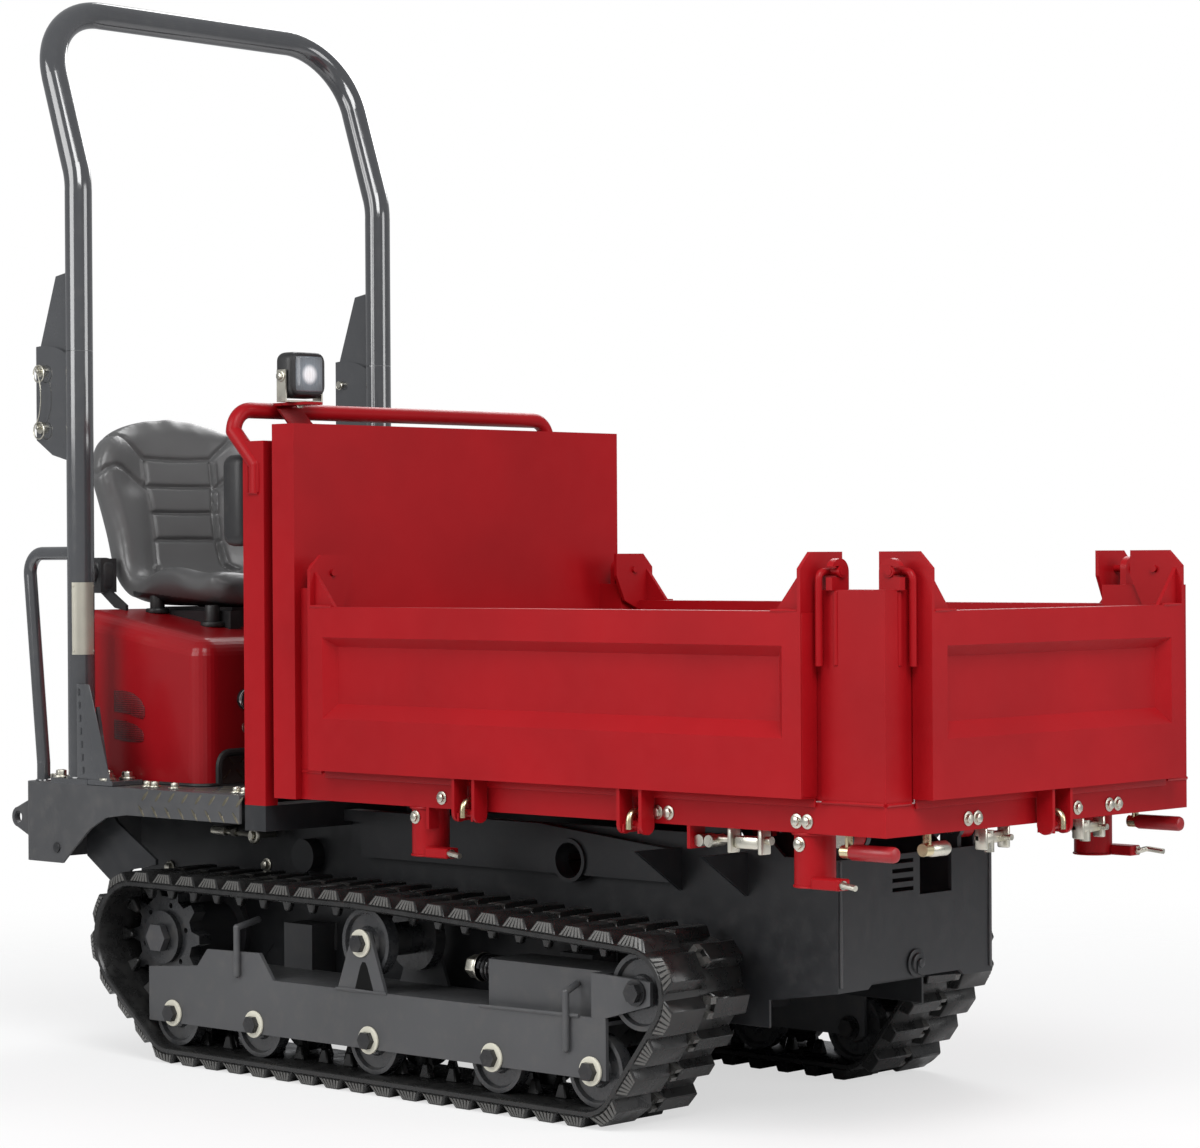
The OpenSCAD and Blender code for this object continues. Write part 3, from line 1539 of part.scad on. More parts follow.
// Hook bar in a sill: hooks over the board's hinge pins, and a release lever at one end
module hook_bar(x, hooks, lever, grip) {
    out = hinge_out + 17;
    tip = hinge_pin_z - 8;
    grip_z = sill_z - 31;
    along_x(bar_r, x, -bar_in, bar_z);
    for (h = hooks) {
        rod([h, -bar_in, hook_z], [h, out, hook_z], hook_r);
        rod([h, out, hook_z], [h, out, tip], hook_r);
        box([h - hook_r, h + hook_r], [-bar_in - 5, -bar_in + 5], [bar_z, hook_z]);
    }
    box([lever, lever + lever_t], [-bar_in - 8, -bar_in + 8], [grip_z, bar_z]);
    along_x(grip_r, [lever - 10, lever + grip], -bar_in, grip_z);
}

module side_hook_bar(side) {
    color(gold)
        on_side(side)
            translate([0, bed_half + board_gap, 0])
                hook_bar([side_ribs[0] - 30, lever_at + 20], [for (h = side_hooks) side_x0 + h],
                    lever_at, 110);
}

module tail_hook_bar() {
    color(gold)
        on_tail()
            hook_bar([tail_lever_at - 6, tail_ribs[1] + 30], [0], tail_lever_at, 60);
}

// Dump ram: barrel on the chassis foot, rod on the bed pin

module along_ram() {
    // Local z runs from the foot towards the rod pin
    translate([foot_x, 0, foot_z])
        rotate([0, -30, 0])
            children();
}

module dump_cylinder() {
    barrel_len = ram_len(0) - 30;
    color(dark_grey)
        difference() {
            along_ram() {
                along_y(20, 0, [-ram_w / 2, ram_w / 2], 0);
                along_z(barrel_r, 0, 0, [14, barrel_len]);
            }
            along_ram()
                along_z(rod_r + run_fit, 0, 0, [bore_end, barrel_len + over]);
            along_y(dump_pin_r + run_fit, foot_x, [-ram_w, ram_w], foot_z);
        }
}

module dump_rod() {
    reach = ram_len(0);
    color(zinc)
        along_ram()
            difference() {
                union() {
                    along_z(rod_r, 0, 0, [bore_end + 2, reach - 20]);
                    box([-24, 24], [-ram_w / 2, ram_w / 2], [reach - 26, reach + rod_slot + 4]);
                    along_y(24, 0, [-ram_w / 2, ram_w / 2], reach + rod_slot + 4);
                }
                for (z = [reach - 2, reach + rod_slot])
                    along_y(dump_pin_r + 2, 0, [-ram_w, ram_w], z);
                box([-dump_pin_r - 2, dump_pin_r + 2], [-ram_w, ram_w], [reach - 2, reach + rod_slot]);
            }
}

// Pins of the bed hinge and of the ram's foot
module hinge_pins() {
    color(zinc)
        union() {
            both_sides() {
                along_y(dump_pin_r, dump_x, [dump_ear_y[0] - 6, dump_ear_y[1] + dump_ear_t + 6], dump_z);
                along_y(dump_pin_r + 6, dump_x, [dump_ear_y[1] + dump_ear_t, dump_ear_y[1] + dump_ear_t + 6],
                    dump_z);
            }
            along_y(dump_pin_r, foot_x, [-ram_w / 2 - 22, ram_w / 2 + 22], foot_z);
        }
}

at_origin() {
    chassis_frame();
    chassis_sides();
    deck();
    track_frames();
    track_belts();
    drive_sprocket(-1);  // right_sprocket
    drive_sprocket(1);  // left_sprocket
    idler(-1);  // right_idler
    idler(1);  // left_idler
    idler_yokes();
    tension_springs();
    for (k = [0:4]) {
        lower_roller(-1, k);
        lower_roller(1, k);
    }
    carrier_roller(-1);  // right_carrier_roller
    carrier_roller(1);  // left_carrier_roller
    wheel_axles();
    travel_motors();
    engine();
    hydraulic_pump();
    fuel_tank();
    hydraulic_tank();
    engine_cover();
    seat();
    seat_base();
    seat_belt();
    rops_posts();
    rops_hoop();
    rops_pins();
    handrails();
    guard_frame();
    light_strap();
    work_light();
    work_light_lens();
    console();
    hand_lever(lever_ys[0]);  // dump_lever
    hand_lever(lever_ys[1]);  // right_drive_lever
    hand_lever(lever_ys[2]);  // left_drive_lever
    bed_frame();
    headboard();
    side_board(-1);  // right_side_board
    side_board(1);  // left_side_board
    tailgate();
    board_latches(-1);  // right_board_latches
    board_latches(1);  // left_board_latches
    tailgate_latches();
    side_hook_bar(-1);  // right_hook_bar
    side_hook_bar(1);  // left_hook_bar
    tail_hook_bar();
    dump_cylinder();
    dump_rod();
    hinge_pins();
}
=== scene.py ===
import bpy
import bmesh
import math
from mathutils import Matrix, Vector


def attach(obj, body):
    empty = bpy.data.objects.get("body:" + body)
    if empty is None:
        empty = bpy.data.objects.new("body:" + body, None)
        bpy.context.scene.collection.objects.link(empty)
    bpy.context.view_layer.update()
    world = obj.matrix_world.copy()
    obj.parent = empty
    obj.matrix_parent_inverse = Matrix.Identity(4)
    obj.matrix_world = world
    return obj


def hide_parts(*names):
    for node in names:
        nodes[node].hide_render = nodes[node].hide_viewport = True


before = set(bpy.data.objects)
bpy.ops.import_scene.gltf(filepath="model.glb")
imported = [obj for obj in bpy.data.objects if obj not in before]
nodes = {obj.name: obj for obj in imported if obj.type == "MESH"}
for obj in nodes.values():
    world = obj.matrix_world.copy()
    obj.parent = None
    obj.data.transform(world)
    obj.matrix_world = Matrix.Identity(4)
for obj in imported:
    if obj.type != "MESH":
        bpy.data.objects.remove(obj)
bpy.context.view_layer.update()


# Studio: a pale floor that fades into white, soft lamps and the camera of the photograph.
# The floor is stage only, so the carrier stands on it without being joined to it.
def deselect():
    if bpy.context.mode != "OBJECT":
        bpy.ops.object.mode_set(mode="OBJECT")
    bpy.ops.object.select_all(action="DESELECT")


def new_object(name, data):
    made = bpy.data.objects.new(name, data)
    bpy.context.scene.collection.objects.link(made)
    return made


def new_material(name):
    material = bpy.data.materials.new(name)
    material.use_nodes = True
    tree = material.node_tree
    return material, tree, tree.nodes["Principled BSDF"]


def fill(node, values):
    for key, value in values.items():
        node.inputs[key].default_value = value


def add_node(tree, kind, values=None, **settings):
    made = tree.nodes.new("ShaderNode" + kind)
    for key, value in settings.items():
        setattr(made, key, value)
    fill(made, values or {})
    return made


def wire(tree, *runs):
    # Each run names a node, its output, the next node and its input
    for source, out, target, into in runs:
        tree.links.new(source.outputs[out], target.inputs[into])



deck_front = 581
origin_x = deck_front - 1000 * max(corner[0] for corner in nodes["deck"].bound_box)


def at(x, y, z):
    # Drawing place in millimetres from the roll-bar posts, in the shared frame
    return Vector(((x - origin_x) / 1000, y / 1000, z / 1000))


deselect()
bpy.ops.mesh.primitive_circle_add(vertices=96, radius=9.0, fill_type="NGON", location=at(1268, 0, -0.5))
floor = bpy.context.object
floor.name = "studio_floor"
floor_paint, tree, shader = new_material("pale_floor")
fill(shader, {"Base Color": (0.86, 0.86, 0.86, 1), "Roughness": 0.75, "Specular IOR Level": 0.2})
place = add_node(tree, "TexCoord")
reach = add_node(tree, "VectorMath", operation="LENGTH")
fade = add_node(tree, "MapRange", {"From Min": 1.6, "From Max": 4.2}, interpolation_type="SMOOTHSTEP")
clear = add_node(tree, "BsdfTransparent")
blend = add_node(tree, "MixShader")
paper = add_node(tree, "Emission")
sight = add_node(tree, "LightPath")
share = add_node(tree, "Math", {1: 0.62}, operation="MULTIPLY")
pale = add_node(tree, "MixShader")
wire(tree, (sight, "Is Camera Ray", share, 0), (share, "Value", pale, "Fac"), (shader, "BSDF", pale, 1),
     (paper, "Emission", pale, 2), (place, "Object", reach, 0), (reach, "Value", fade, "Value"),
     (fade, "Result", blend, "Fac"), (pale, "Shader", blend, 1), (clear, "BSDF", blend, 2),
     (blend, "Shader", tree.nodes["Material Output"], "Surface"))
floor.data.materials.append(floor_paint)

world = bpy.data.worlds.new("studio_world")
bpy.context.scene.world = world
world.use_nodes = True
tree = world.node_tree
sky = tree.nodes["Background"]
fill(sky, {"Color": (0.62, 0.63, 0.65, 1), "Strength": 0.55})
white = add_node(tree, "Background", {"Color": (1, 1, 1, 1)})
ray = add_node(tree, "LightPath")
seen = add_node(tree, "Math", operation="MAXIMUM")
choose = add_node(tree, "MixShader")
wire(tree, (ray, "Is Camera Ray", seen, 0), (ray, "Is Transmission Ray", seen, 1),
     (seen, "Value", choose, "Fac"), (sky, "Background", choose, 1), (white, "Background", choose, 2),
     (choose, "Shader", tree.nodes["World Output"], "Surface"))

for name, spot, aim, size, watts in (
    ("key_lamp", (3.6, -2.4, 4.4), (0.4, 0, 0.8), 3.0, 230),
    ("side_lamp", (-1.5, -5.0, 3.0), (0.0, 0, 0.8), 3.2, 150),
    ("far_lamp", (-2.5, 3.6, 4.2), (0.0, 0, 1.0), 3.0, 130),
    ("tail_lamp", (6.0, 2.2, 2.2), (0.8, 0, 0.7), 2.6, 85),
):
    lamp = bpy.data.lights.new(name, "AREA")
    lamp.size = size
    lamp.energy = watts
    stand = new_object(name, lamp)
    stand.location = spot
    stand.rotation_euler = (Vector(aim) - Vector(spot)).to_track_quat("-Z", "Y").to_euler()

turn, tilt, roll = math.radians(43.33), math.radians(-0.30), math.radians(-0.34)
ahead = Vector((-math.sin(turn) * math.cos(tilt), math.cos(turn) * math.cos(tilt), math.sin(tilt)))
right = Vector((math.cos(turn), math.sin(turn), 0))
up = right.cross(ahead)
right, up = (math.cos(roll) * right + math.sin(roll) * up,
             -math.sin(roll) * right + math.cos(roll) * up)
focal_px, photo_width_px = 3340.86, 1200
lens = bpy.data.cameras.new("photo_camera")
lens.sensor_fit = "HORIZONTAL"
lens.sensor_width = 36.0
lens.lens = focal_px / photo_width_px * 36.0
lens.clip_end = 60.0
camera = new_object("photo_camera", lens)
camera.matrix_world = Matrix.Translation(at(5970.6, -5092.4, 1087.8)) @ Matrix(
    (right, up, -ahead)).transposed().to_4x4()
bpy.context.scene.camera = camera
bpy.context.scene.view_settings.view_transform = "Standard"


# Welded chassis box, deck, track frames and yokes: sheet steel, folded, welded and sprayed dark grey.
# One finish group gives every painted or cast piece its uneven sheen, fine texture and dust.
def finish_group():
    group = bpy.data.node_groups.new("worked_finish", "ShaderNodeTree")
    for name, kind, value in (("Colour", "Color", (0.5, 0.5, 0.5, 1)),
                              ("Dust", "Color", (0.3, 0.28, 0.24, 1)),
                              ("Dust Amount", "Float", 0.1), ("Low", "Float", 0.3), ("High", "Float", 0.5),
                              ("Grain Scale", "Float", 400.0)):
        made = group.interface.new_socket(name=name, in_out="INPUT", socket_type="NodeSocket" + kind)
        made.default_value = value
    for name, kind in (("Colour", "Color"), ("Roughness", "Float"), ("Height", "Float")):
        group.interface.new_socket(name=name, in_out="OUTPUT", socket_type="NodeSocket" + kind)
    given, put = group.nodes.new("NodeGroupInput"), group.nodes.new("NodeGroupOutput")
    where = add_node(group, "TexCoord")
    patch = add_node(group, "TexNoise", {"Scale": 3.5, "Detail": 5})
    smear = add_node(group, "TexNoise", {"Scale": 28, "Detail": 6, "Roughness": 0.65})
    grain = add_node(group, "TexNoise", {"Detail": 2})
    shade = add_node(group, "MapRange", {"From Min": 0.3, "From Max": 0.7, "To Min": 0.88, "To Max": 1.08})
    tone = add_node(group, "VectorMath", operation="SCALE")
    film = add_node(group, "MapRange", {"From Min": 0.5, "From Max": 0.72})
    layer = add_node(group, "Math", operation="MULTIPLY")
    cover = add_node(group, "Mix", data_type="RGBA")
    rough = add_node(group, "MapRange", {"From Min": 0.35, "From Max": 0.68})
    wire(group, *[(where, "Object", tex, "Vector") for tex in (patch, smear, grain)],
         (given, "Grain Scale", grain, "Scale"), (patch, "Fac", shade, "Value"), (given, "Colour", tone, 0),
         (shade, "Result", tone, "Scale"), (smear, "Fac", film, "Value"), (film, "Result", layer, 0),
         (given, "Dust Amount", layer, 1), (layer, "Value", cover, "Factor"), (tone, "Vector", cover, "A"),
         (given, "Dust", cover, "B"), (cover, "Result", put, "Colour"), (smear, "Fac", rough, "Value"),
         (given, "Low", rough, "To Min"), (given, "High", rough, "To Max"),
         (rough, "Result", put, "Roughness"), (grain, "Fac", put, "Height"))
    return group


worked_finish = finish_group()


def finish(name, colour, low, high, grain=400.0, bump=0.04, dust=0.08,
           dust_colour=(0.2, 0.18, 0.15), metal=0.0, coat=0.0, gloss=0.5):
    material, tree, shader = new_material(name)
    values = {"Colour": (*colour, 1), "Dust": (*dust_colour, 1), "Dust Amount": dust,
              "Low": low, "High": high, "Grain Scale": grain}
    group = add_node(tree, "Group", values, node_tree=worked_finish)
    skin = add_node(tree, "Bump", {"Strength": bump, "Distance": 0.002})
    wire(tree, (group, "Colour", shader, "Base Color"), (group, "Roughness", shader, "Roughness"),
         (group, "Height", skin, "Height"), (skin, "Normal", shader, "Normal"))
    fill(shader, {"Metallic": metal, "Specular IOR Level": gloss, "Coat Weight": coat,
                  "Coat Roughness": 0.08})
    return material


def dress(material, *names):
    for name in names:
        data = nodes[name].data
        data.materials.clear()
        data.materials.append(material)


def pick(piece):
    deselect()
    piece.select_set(True)
    bpy.context.view_layer.objects.active = piece


def settle(piece, material, body="chassis"):
    # A finished piece: its place goes into its mesh, then it gets its finish and its body
    pick(piece)
    bpy.ops.object.transform_apply(location=True, rotation=True, scale=True)
    piece.data.materials.clear()
    piece.data.materials.append(material)
    bpy.ops.object.shade_smooth_by_angle(angle=math.radians(35))
    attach(piece, body)
    return piece


def use_modifier(piece, kind, **values):
    made = piece.modifiers.new(kind.lower(), kind)
    for key, value in values.items():
        setattr(made, key, value)
    pick(piece)
    bpy.ops.object.modifier_apply(modifier=made.name)


def select_faces(piece, axis, both=False):
    # Picks the faces that look along an axis, or along both its ways
    shape = bmesh.from_edit_mesh(piece.data)
    for face in shape.faces:
        face.select_set((abs(face.normal[axis]) if both else face.normal[axis]) > 0.9)
    bmesh.update_edit_mesh(piece.data)


def block(low, high, taper=(1.0, 1.0), bevel=0.0, steps=2):
    # A cube at its size and place, its top face drawn in, its edges rounded
    deselect()
    middle = (Vector(low) + Vector(high)) / 2
    bpy.ops.mesh.primitive_cube_add(size=1, location=middle, scale=Vector(high) - Vector(low))
    piece = bpy.context.object
    bpy.ops.object.transform_apply(location=True, rotation=True, scale=True)
    if taper != (1.0, 1.0):
        bpy.ops.object.mode_set(mode="EDIT")
        bpy.ops.mesh.select_mode(type="FACE")
        bpy.ops.mesh.select_all(action="DESELECT")
        select_faces(piece, 2)
        bpy.ops.transform.resize(value=(*taper, 1), center_override=(middle.x, middle.y, high[2]))
        bpy.ops.object.mode_set(mode="OBJECT")
    if bevel:
        use_modifier(piece, "BEVEL", width=bevel, segments=steps, limit_method="ANGLE")
    return piece


def rod_shape(radius, length, sides=20, bevel=0.0):
    # A turned rod along +Z from the origin with rounded end edges
    deselect()
    bpy.ops.mesh.primitive_cylinder_add(vertices=sides, radius=radius, depth=length,
                                        location=(0, 0, length / 2))
    piece = bpy.context.object
    bpy.ops.object.transform_apply(location=True, rotation=True, scale=True)
    if bevel:
        use_modifier(piece, "BEVEL", width=bevel, segments=2, limit_method="ANGLE",
                     angle_limit=math.radians(50))
    return piece


def joined(pieces, name):
    deselect()
    for piece in pieces:
        piece.select_set(True)
    bpy.context.view_layer.objects.active = pieces[0]
    if len(pieces) > 1:
        bpy.ops.object.join()
    pieces[0].name = name
    return pieces[0]


def twin(model):
    piece = model.copy()
    piece.data = model.data.copy()
    bpy.context.scene.collection.objects.link(piece)
    return piece


def copied(model, places, name):
    # One model set down at every place, each copy with its own mesh, all joined to one piece
    made = []
    for place in places:
        piece = twin(model)
        piece.matrix_world = place
        made.append(piece)
    bpy.data.objects.remove(model)
    bpy.context.view_layer.update()
    whole = joined(made, name)
    bpy.ops.object.transform_apply(location=True, rotation=True, scale=True)
    return whole


def facing(point, normal, spin=0.0):
    # Stands a model's +Z along normal at point
    turn = Vector(normal).to_track_quat("Z", "Y").to_matrix().to_4x4()
    return Matrix.Translation(point) @ turn @ Matrix.Rotation(spin, 4, "Z")


grey_paint = finish("grey_paint", (0.062, 0.063, 0.066), 0.36, 0.52, 900, 0.05, 0.10)
dress(grey_paint, "deck", "track_frames", "idler_yokes")
# The chassis box and its sides take a darker copy of the same grey paint: painted shade for the box that
# stands in shadow under the deck.
shaded_grey_paint = finish("shaded_grey_paint", (0.021, 0.022, 0.024), 0.3, 0.46, 900, 0.05, 0.12,
                       (0.08, 0.076, 0.07), gloss=0.4)
dress(shaded_grey_paint, "chassis_frame", "chassis_sides")


# Tread plate on the deck: rolled steel with raised lozenges that boots have worn to a brassy sheen.
# The plate covers the deck round the engine cover and folds over its side edges.
worn_steel = finish("worn_tread", (0.16, 0.145, 0.105), 0.3, 0.5, 500, 0.08, 0.3, (0.1, 0.09, 0.07), 0.75)
lozenge = rod_shape(0.5, 1.0, 8)
bpy.ops.object.mode_set(mode="EDIT")
bpy.ops.mesh.select_all(action="DESELECT")
select_faces(lozenge, 2)
bpy.ops.transform.resize(value=(0.72, 0.5, 1), center_override=(0, 0, 1))
bpy.ops.object.mode_set(mode="OBJECT")
lozenge.scale = (0.032, 0.0075, 0.0015)
bpy.ops.object.transform_apply(location=False, rotation=False, scale=True)
tread_pitch, tread_level, skirt_y, skirt_pitch = 37, 587.6, 491.7, 44.8
tread_spots = []
for i in range(21):
    for j in range(-13, 14):
        x, y = -152 + i * tread_pitch, j * tread_pitch
        in_cover = x < 345 and abs(y) < 396
        on_foot = abs(x) < 84 and abs(y) > 385 or abs(x + 140) < 36 and abs(abs(y) - 455) < 34
        if abs(y) < 480 and x < 570 and not in_cover and not on_foot:
            lean = 0.8 if (i + j) % 2 else -0.8
            tread_spots.append(Matrix.Translation(at(x, y, tread_level)) @ Matrix.Rotation(lean, 4, "Z"))
for side in (-1, 1):
    for i in range(8):
        for x, z, lean in ((254, 539, 0.88), (268, 574, -0.8)):
            spot = at(x + i * skirt_pitch, side * skirt_y, z)
            tread_spots.append(facing(spot, (0, side, 0), side * lean))
settle(copied(lozenge, tread_spots, "deck_tread"), worn_steel)

# Bolts of the deck: zinc-plated flange bolts through the deck plate into its risers, beside the posts
# and on the chassis sides, with painted plugs in the skirt.
zinc = finish("zinc_plate", (0.62, 0.6, 0.52), 0.25, 0.42, 700, 0.05, 0.1, (0.35, 0.3, 0.2), 1.0)
deck_top, foot_top = 588, 600


def bolts(name, radius, head, washer, places, body="chassis"):
    # Flanged hexagon heads: bevelled hexagon, a domed washer below and a shallow dish in the top
    hexagon = rod_shape(radius, head, 6, radius * 0.16)
    collar = rod_shape(washer, head * 0.3, 20, head * 0.1)
    dish = rod_shape(radius * 0.62, head * 1.05, 14, head * 0.03)
    settle(copied(joined([hexagon, collar, dish], "hex_bolt"), places, name), zinc, body)


deck_bolts, foot_bolts = [], []
for side in (-1, 1):
    for x in (220, 245, 313, 520, 546):
        deck_bolts.append(facing(at(x, side * 446, deck_top), (0, 0, 1), 0.7))
    deck_bolts.append(facing(at(-150, side * 418, deck_top), (0, 0, 1), 0.2))
    for x, z in ((46, 388), (380, 413)):
        deck_bolts.append(facing(at(x, side * 240, z), (0, side, 0), 0.3))
    for x, y in ((-48, 421), (48, 421), (-48, 476), (117, 421), (117, 476)):
        foot_bolts.append(facing(at(x, side * y, foot_top), (0, 0, 1), 0.3))
bolts("deck_bolts", 0.0098, 0.013, 0.0145, deck_bolts)
bolts("foot_bolts", 0.0125, 0.017, 0.018, foot_bolts)
# The skirt plugs take the darker copy of the grey paint as painted shade in their recess.
plugs = [facing(at(-44, side * 491.6, 444), (0, side, 0)) for side in (-1, 1)]
settle(copied(rod_shape(0.0115, 0.0045, 24, 0.0018), plugs, "skirt_plugs"), shaded_grey_paint)

# Tail plate cap and belly flanges: a painted screw cap low on the tail plate, and flat bars that stiffen
# the chassis box's lower edges between the track arms.
def span_block(a, b, bevel, steps=2):
    # A block between two corners given in any order
    low = [min(pair) for pair in zip(a, b)]
    high = [max(pair) for pair in zip(a, b)]
    return block(low, high, bevel=bevel, steps=steps)


cap = joined([rod_shape(0.027, 0.005, 32, 0.002), rod_shape(0.019, 0.011, 32, 0.003),
              rod_shape(0.010, 0.017, 6, 0.002)], "cap")
belly = [copied(cap, [facing(at(2000, -5, 303), (1, 0, 0))], "tail_cap")]
# The flat bars are sheets in the darker copy of the grey paint, set under the chassis box where only shade
# shows: painted shade.
for side in (-1, 1):
    belly.append(span_block(at(330, side * 233, 186), at(1830, side * 239, 249), 0.001, 1))
settle(joined(belly, "belly_flanges"), shaded_grey_paint)


# Throttle link below the deck's front end: a plated rod with a socket at one end and a ball eye at the
# other, bent and turned from bar.
def tube(points, radius, sides=3, ring=False, smooth=False):
    # A bent rod or wire through points, as a mesh
    curve = bpy.data.curves.new("tube", "CURVE")
    curve.dimensions = "3D"
    curve.bevel_depth = radius
    curve.bevel_resolution = sides
    curve.use_fill_caps = not ring
    curve.resolution_u = 8
    line = curve.splines.new("NURBS" if smooth else "POLY")
    line.points.add(len(points) - 1)
    for spot, point in zip(line.points, points):
        spot.co = (*point, 1)
    line.use_cyclic_u = ring
    if smooth:
        line.order_u = 3
        line.use_endpoint_u = not ring
    pick(new_object("tube", curve))
    bpy.ops.object.convert(target="MESH")
    return bpy.context.object


def circle(x, y, z, radius, count, axes):
    # Places round a circle in millimetres, in the plane of the two axes named
    spots = []
    for k in range(count):
        angle = k * math.tau / count
        step = {axes[0]: radius * math.cos(angle), axes[1]: radius * math.sin(angle)}
        spots.append(at(x + step.get("x", 0), y + step.get("y", 0), z + step.get("z", 0)))
    return spots


links = []
for side in (-1, 1):
    y, root = side * 300, side * 241
    for start, end, radius, sides in (((268, y, 488), (312, y, 486), 0.009, 4),
                                      ((312, y, 486), (392, y, 483), 0.005, 3),
                                      ((334, y, 485.3), (348, y, 484.7), 0.0085, 1),
                                      ((406, root, 482), (406, side * 312, 482), 0.0075, 4),
                                      ((274, root, 488), (274, side * 302, 488), 0.007, 4)):
        links.append(tube([at(*start), at(*end)], radius, sides))
    links.append(tube(circle(406, y, 482, 13, 24, "xz"), 0.006, ring=True))
settle(joined(links, "throttle_links"), zinc)


# Weld seams along the upper edges of the track frames, at the track arms and down the tail plate's edges:
# rippled steel beads under the same grey paint.
def weld(start, end, radius=0.0035):
    start, end = Vector(start), Vector(end)
    steps = max(3, int((end - start).length / 0.0045))
    bead = tube([start.lerp(end, k / steps) for k in range(steps + 1)], radius, 1)
    line = (end - start).normalized()
    for vertex in bead.data.vertices:
        along = (vertex.co - start).dot(line)
        off = vertex.co - start - line * along
        vertex.co = start + line * along + off * (1 + 0.22 * math.sin(along * 1400))
    return bead


frame_face = 482
beads = []
for side in (-1, 1):
    y = side * (frame_face + 0.5)
    beads.append(weld(at(1290, y, 206), at(1560, y, 210)))
    beads.append(weld(at(870, y, 205), at(1022, y, 206)))
    beads.append(weld(at(1276, side * 436, 205.5), at(1276, side * 344, 205.5)))
    for x in (505, 603, 1335, 1433):
        beads.append(weld(at(x, side * 240.5, 242), at(x, side * 240.5, 299)))
    beads.append(weld(at(2001, side * 232, 275), at(2001, side * 232, 512)))
settle(joined(beads, "frame_welds"), grey_paint)


# Rubber tracks: endless moulded bands with two staggered rows of tread lugs and guide horns inside.
# One link is modelled on the flat, then laid round the wheels along the band's own path.
wheel_circles = [(at(x, 0, z).x, z / 1000, r / 1000) for x, z, r in (
    (347, 107.5, 71.5), (1591, 107.5, 71.5), (1708, 267, 74.5), (946, 303, 70.5), (230, 257, 115.5))]


def leaving(a, b):
    reach = math.hypot(b[0] - a[0], b[1] - a[1])
    return math.atan2(b[1] - a[1], b[0] - a[0]) - math.acos((a[2] - b[2]) / reach)


band_path = []
for k, wheel in enumerate(wheel_circles):
    before, after = wheel_circles[k - 1], wheel_circles[(k + 1) % 5]
    first, last = leaving(before, wheel), leaving(wheel, after)
    last += math.tau * math.ceil((first - last) / math.tau)
    run = math.sqrt((after[0] - wheel[0]) ** 2 + (after[1] - wheel[1]) ** 2 - (wheel[2] - after[2]) ** 2)
    band_path.append((wheel, first, last, wheel[2] * (last - first), run))
band_len = sum(leg[3] + leg[4] for leg in band_path)
link_count = round(band_len / 0.076)
link = band_len / link_count


def on_band(t, out):
    t %= band_len
    for wheel, first, last, arc, run in band_path:
        if t <= arc:
            angle, ahead = first + t / wheel[2], 0.0
            break
        if t <= arc + run:
            angle, ahead = last, t - arc
            break
        t -= arc + run
    c, s = math.cos(angle), math.sin(angle)
    return wheel[0] + (wheel[2] + out) * c - ahead * s, wheel[1] + (wheel[2] + out) * s + ahead * c


band_half, band_t, lug_h = 0.115, 0.016, 0.020
band = block((0, -band_half, 0), (link, band_half, band_t))
bpy.ops.object.mode_set(mode="EDIT")
bpy.ops.mesh.select_mode(type="FACE")
select_faces(band, 0, both=True)
bpy.ops.mesh.delete(type="FACE")
for cut in range(1, 6):
    bpy.ops.mesh.select_all(action="SELECT")
    bpy.ops.mesh.bisect(plane_co=(link * cut / 6, 0, 0), plane_no=(1, 0, 0))
for y in (-0.109, 0.109):
    bpy.ops.mesh.select_all(action="SELECT")
    bpy.ops.mesh.bisect(plane_co=(0, y, 0), plane_no=(0, 1, 0))
bpy.ops.object.mode_set(mode="OBJECT")
for vertex in band.data.vertices:
    if abs(vertex.co.y) > 0.114:
        vertex.co.z += 0.004 if vertex.co.z < 0.008 else -0.004
worn_mark = "worn"


def mark_worn(piece, amount):
    marks = piece.data.attributes.new(worn_mark, "FLOAT", "FACE")
    for face in marks.data:
        face.value = amount
    return piece


link_parts = [mark_worn(band, 0.0)]
lug_top = band_t + lug_h
outer = block((0.002, 0.006, band_t - 0.003), (link * 0.94, 0.1135, lug_top), (0.56, 0.88), 0.0018, 1)
link_parts.append(mark_worn(outer, 0.0))
lug_mid = 0.001 + link * 0.47
for k in range(6):
    foot = (k - 2.5) * link * 0.132
    rib = block((lug_mid + foot - 0.0028, 0.1065, band_t),
                (lug_mid + foot + 0.0028, 0.1146, lug_top - 0.0025), (0.8, 0.6))
    for vertex in rib.data.vertices:
        if vertex.co.z > band_t + 0.008:
            vertex.co.x -= foot * 0.42
            vertex.co.y -= 0.0052
    link_parts.append(mark_worn(rib, 1.0))
start = link * 0.42
inner = block((start, -0.1135, band_t - 0.003), (start + link * 0.56, -0.012, lug_top), (0.66, 0.94),
              0.0018, 1)
link_parts.append(mark_worn(inner, 0.0))
for edge in (0.07, 0.35):
    prong = block((start + link * edge, -0.022, band_t),
                  (start + link * (edge + 0.14), 0.003, lug_top - 0.002), (0.85, 0.8))
    link_parts.append(mark_worn(prong, 0.8))
sole = block((start + link * 0.07, -0.022, band_t), (start + link * 0.49, 0.003, band_t + 0.010), (1.0, 0.9))
link_parts.append(mark_worn(sole, 0.6))
for half in (-1, 1):
    horn = block((0.001, half * 0.036 - 0.010, -0.001), (link * 0.42, half * 0.036 + 0.010, 0.029),
                 (0.5, 0.62), 0.003, 1)
    for vertex in horn.data.vertices:
        vertex.co.z = -vertex.co.z
    horn.data.flip_normals()
    link_parts.append(mark_worn(horn, 0.0))
flat_link = joined(link_parts, "flat_link")
laid = []
track_mid = 390
for side in (-1, 1):
    for k in range(link_count):
        piece = twin(flat_link)
        for vertex in piece.data.vertices:
            x, z = on_band(k * link + vertex.co.x, vertex.co.z)
            vertex.co = (x, side * track_mid / 1000 + side * vertex.co.y, z)
        if side < 0:
            piece.data.flip_normals()
        laid.append(piece)
bpy.data.objects.remove(flat_link)
tracks = joined(laid, "rubber_tracks")
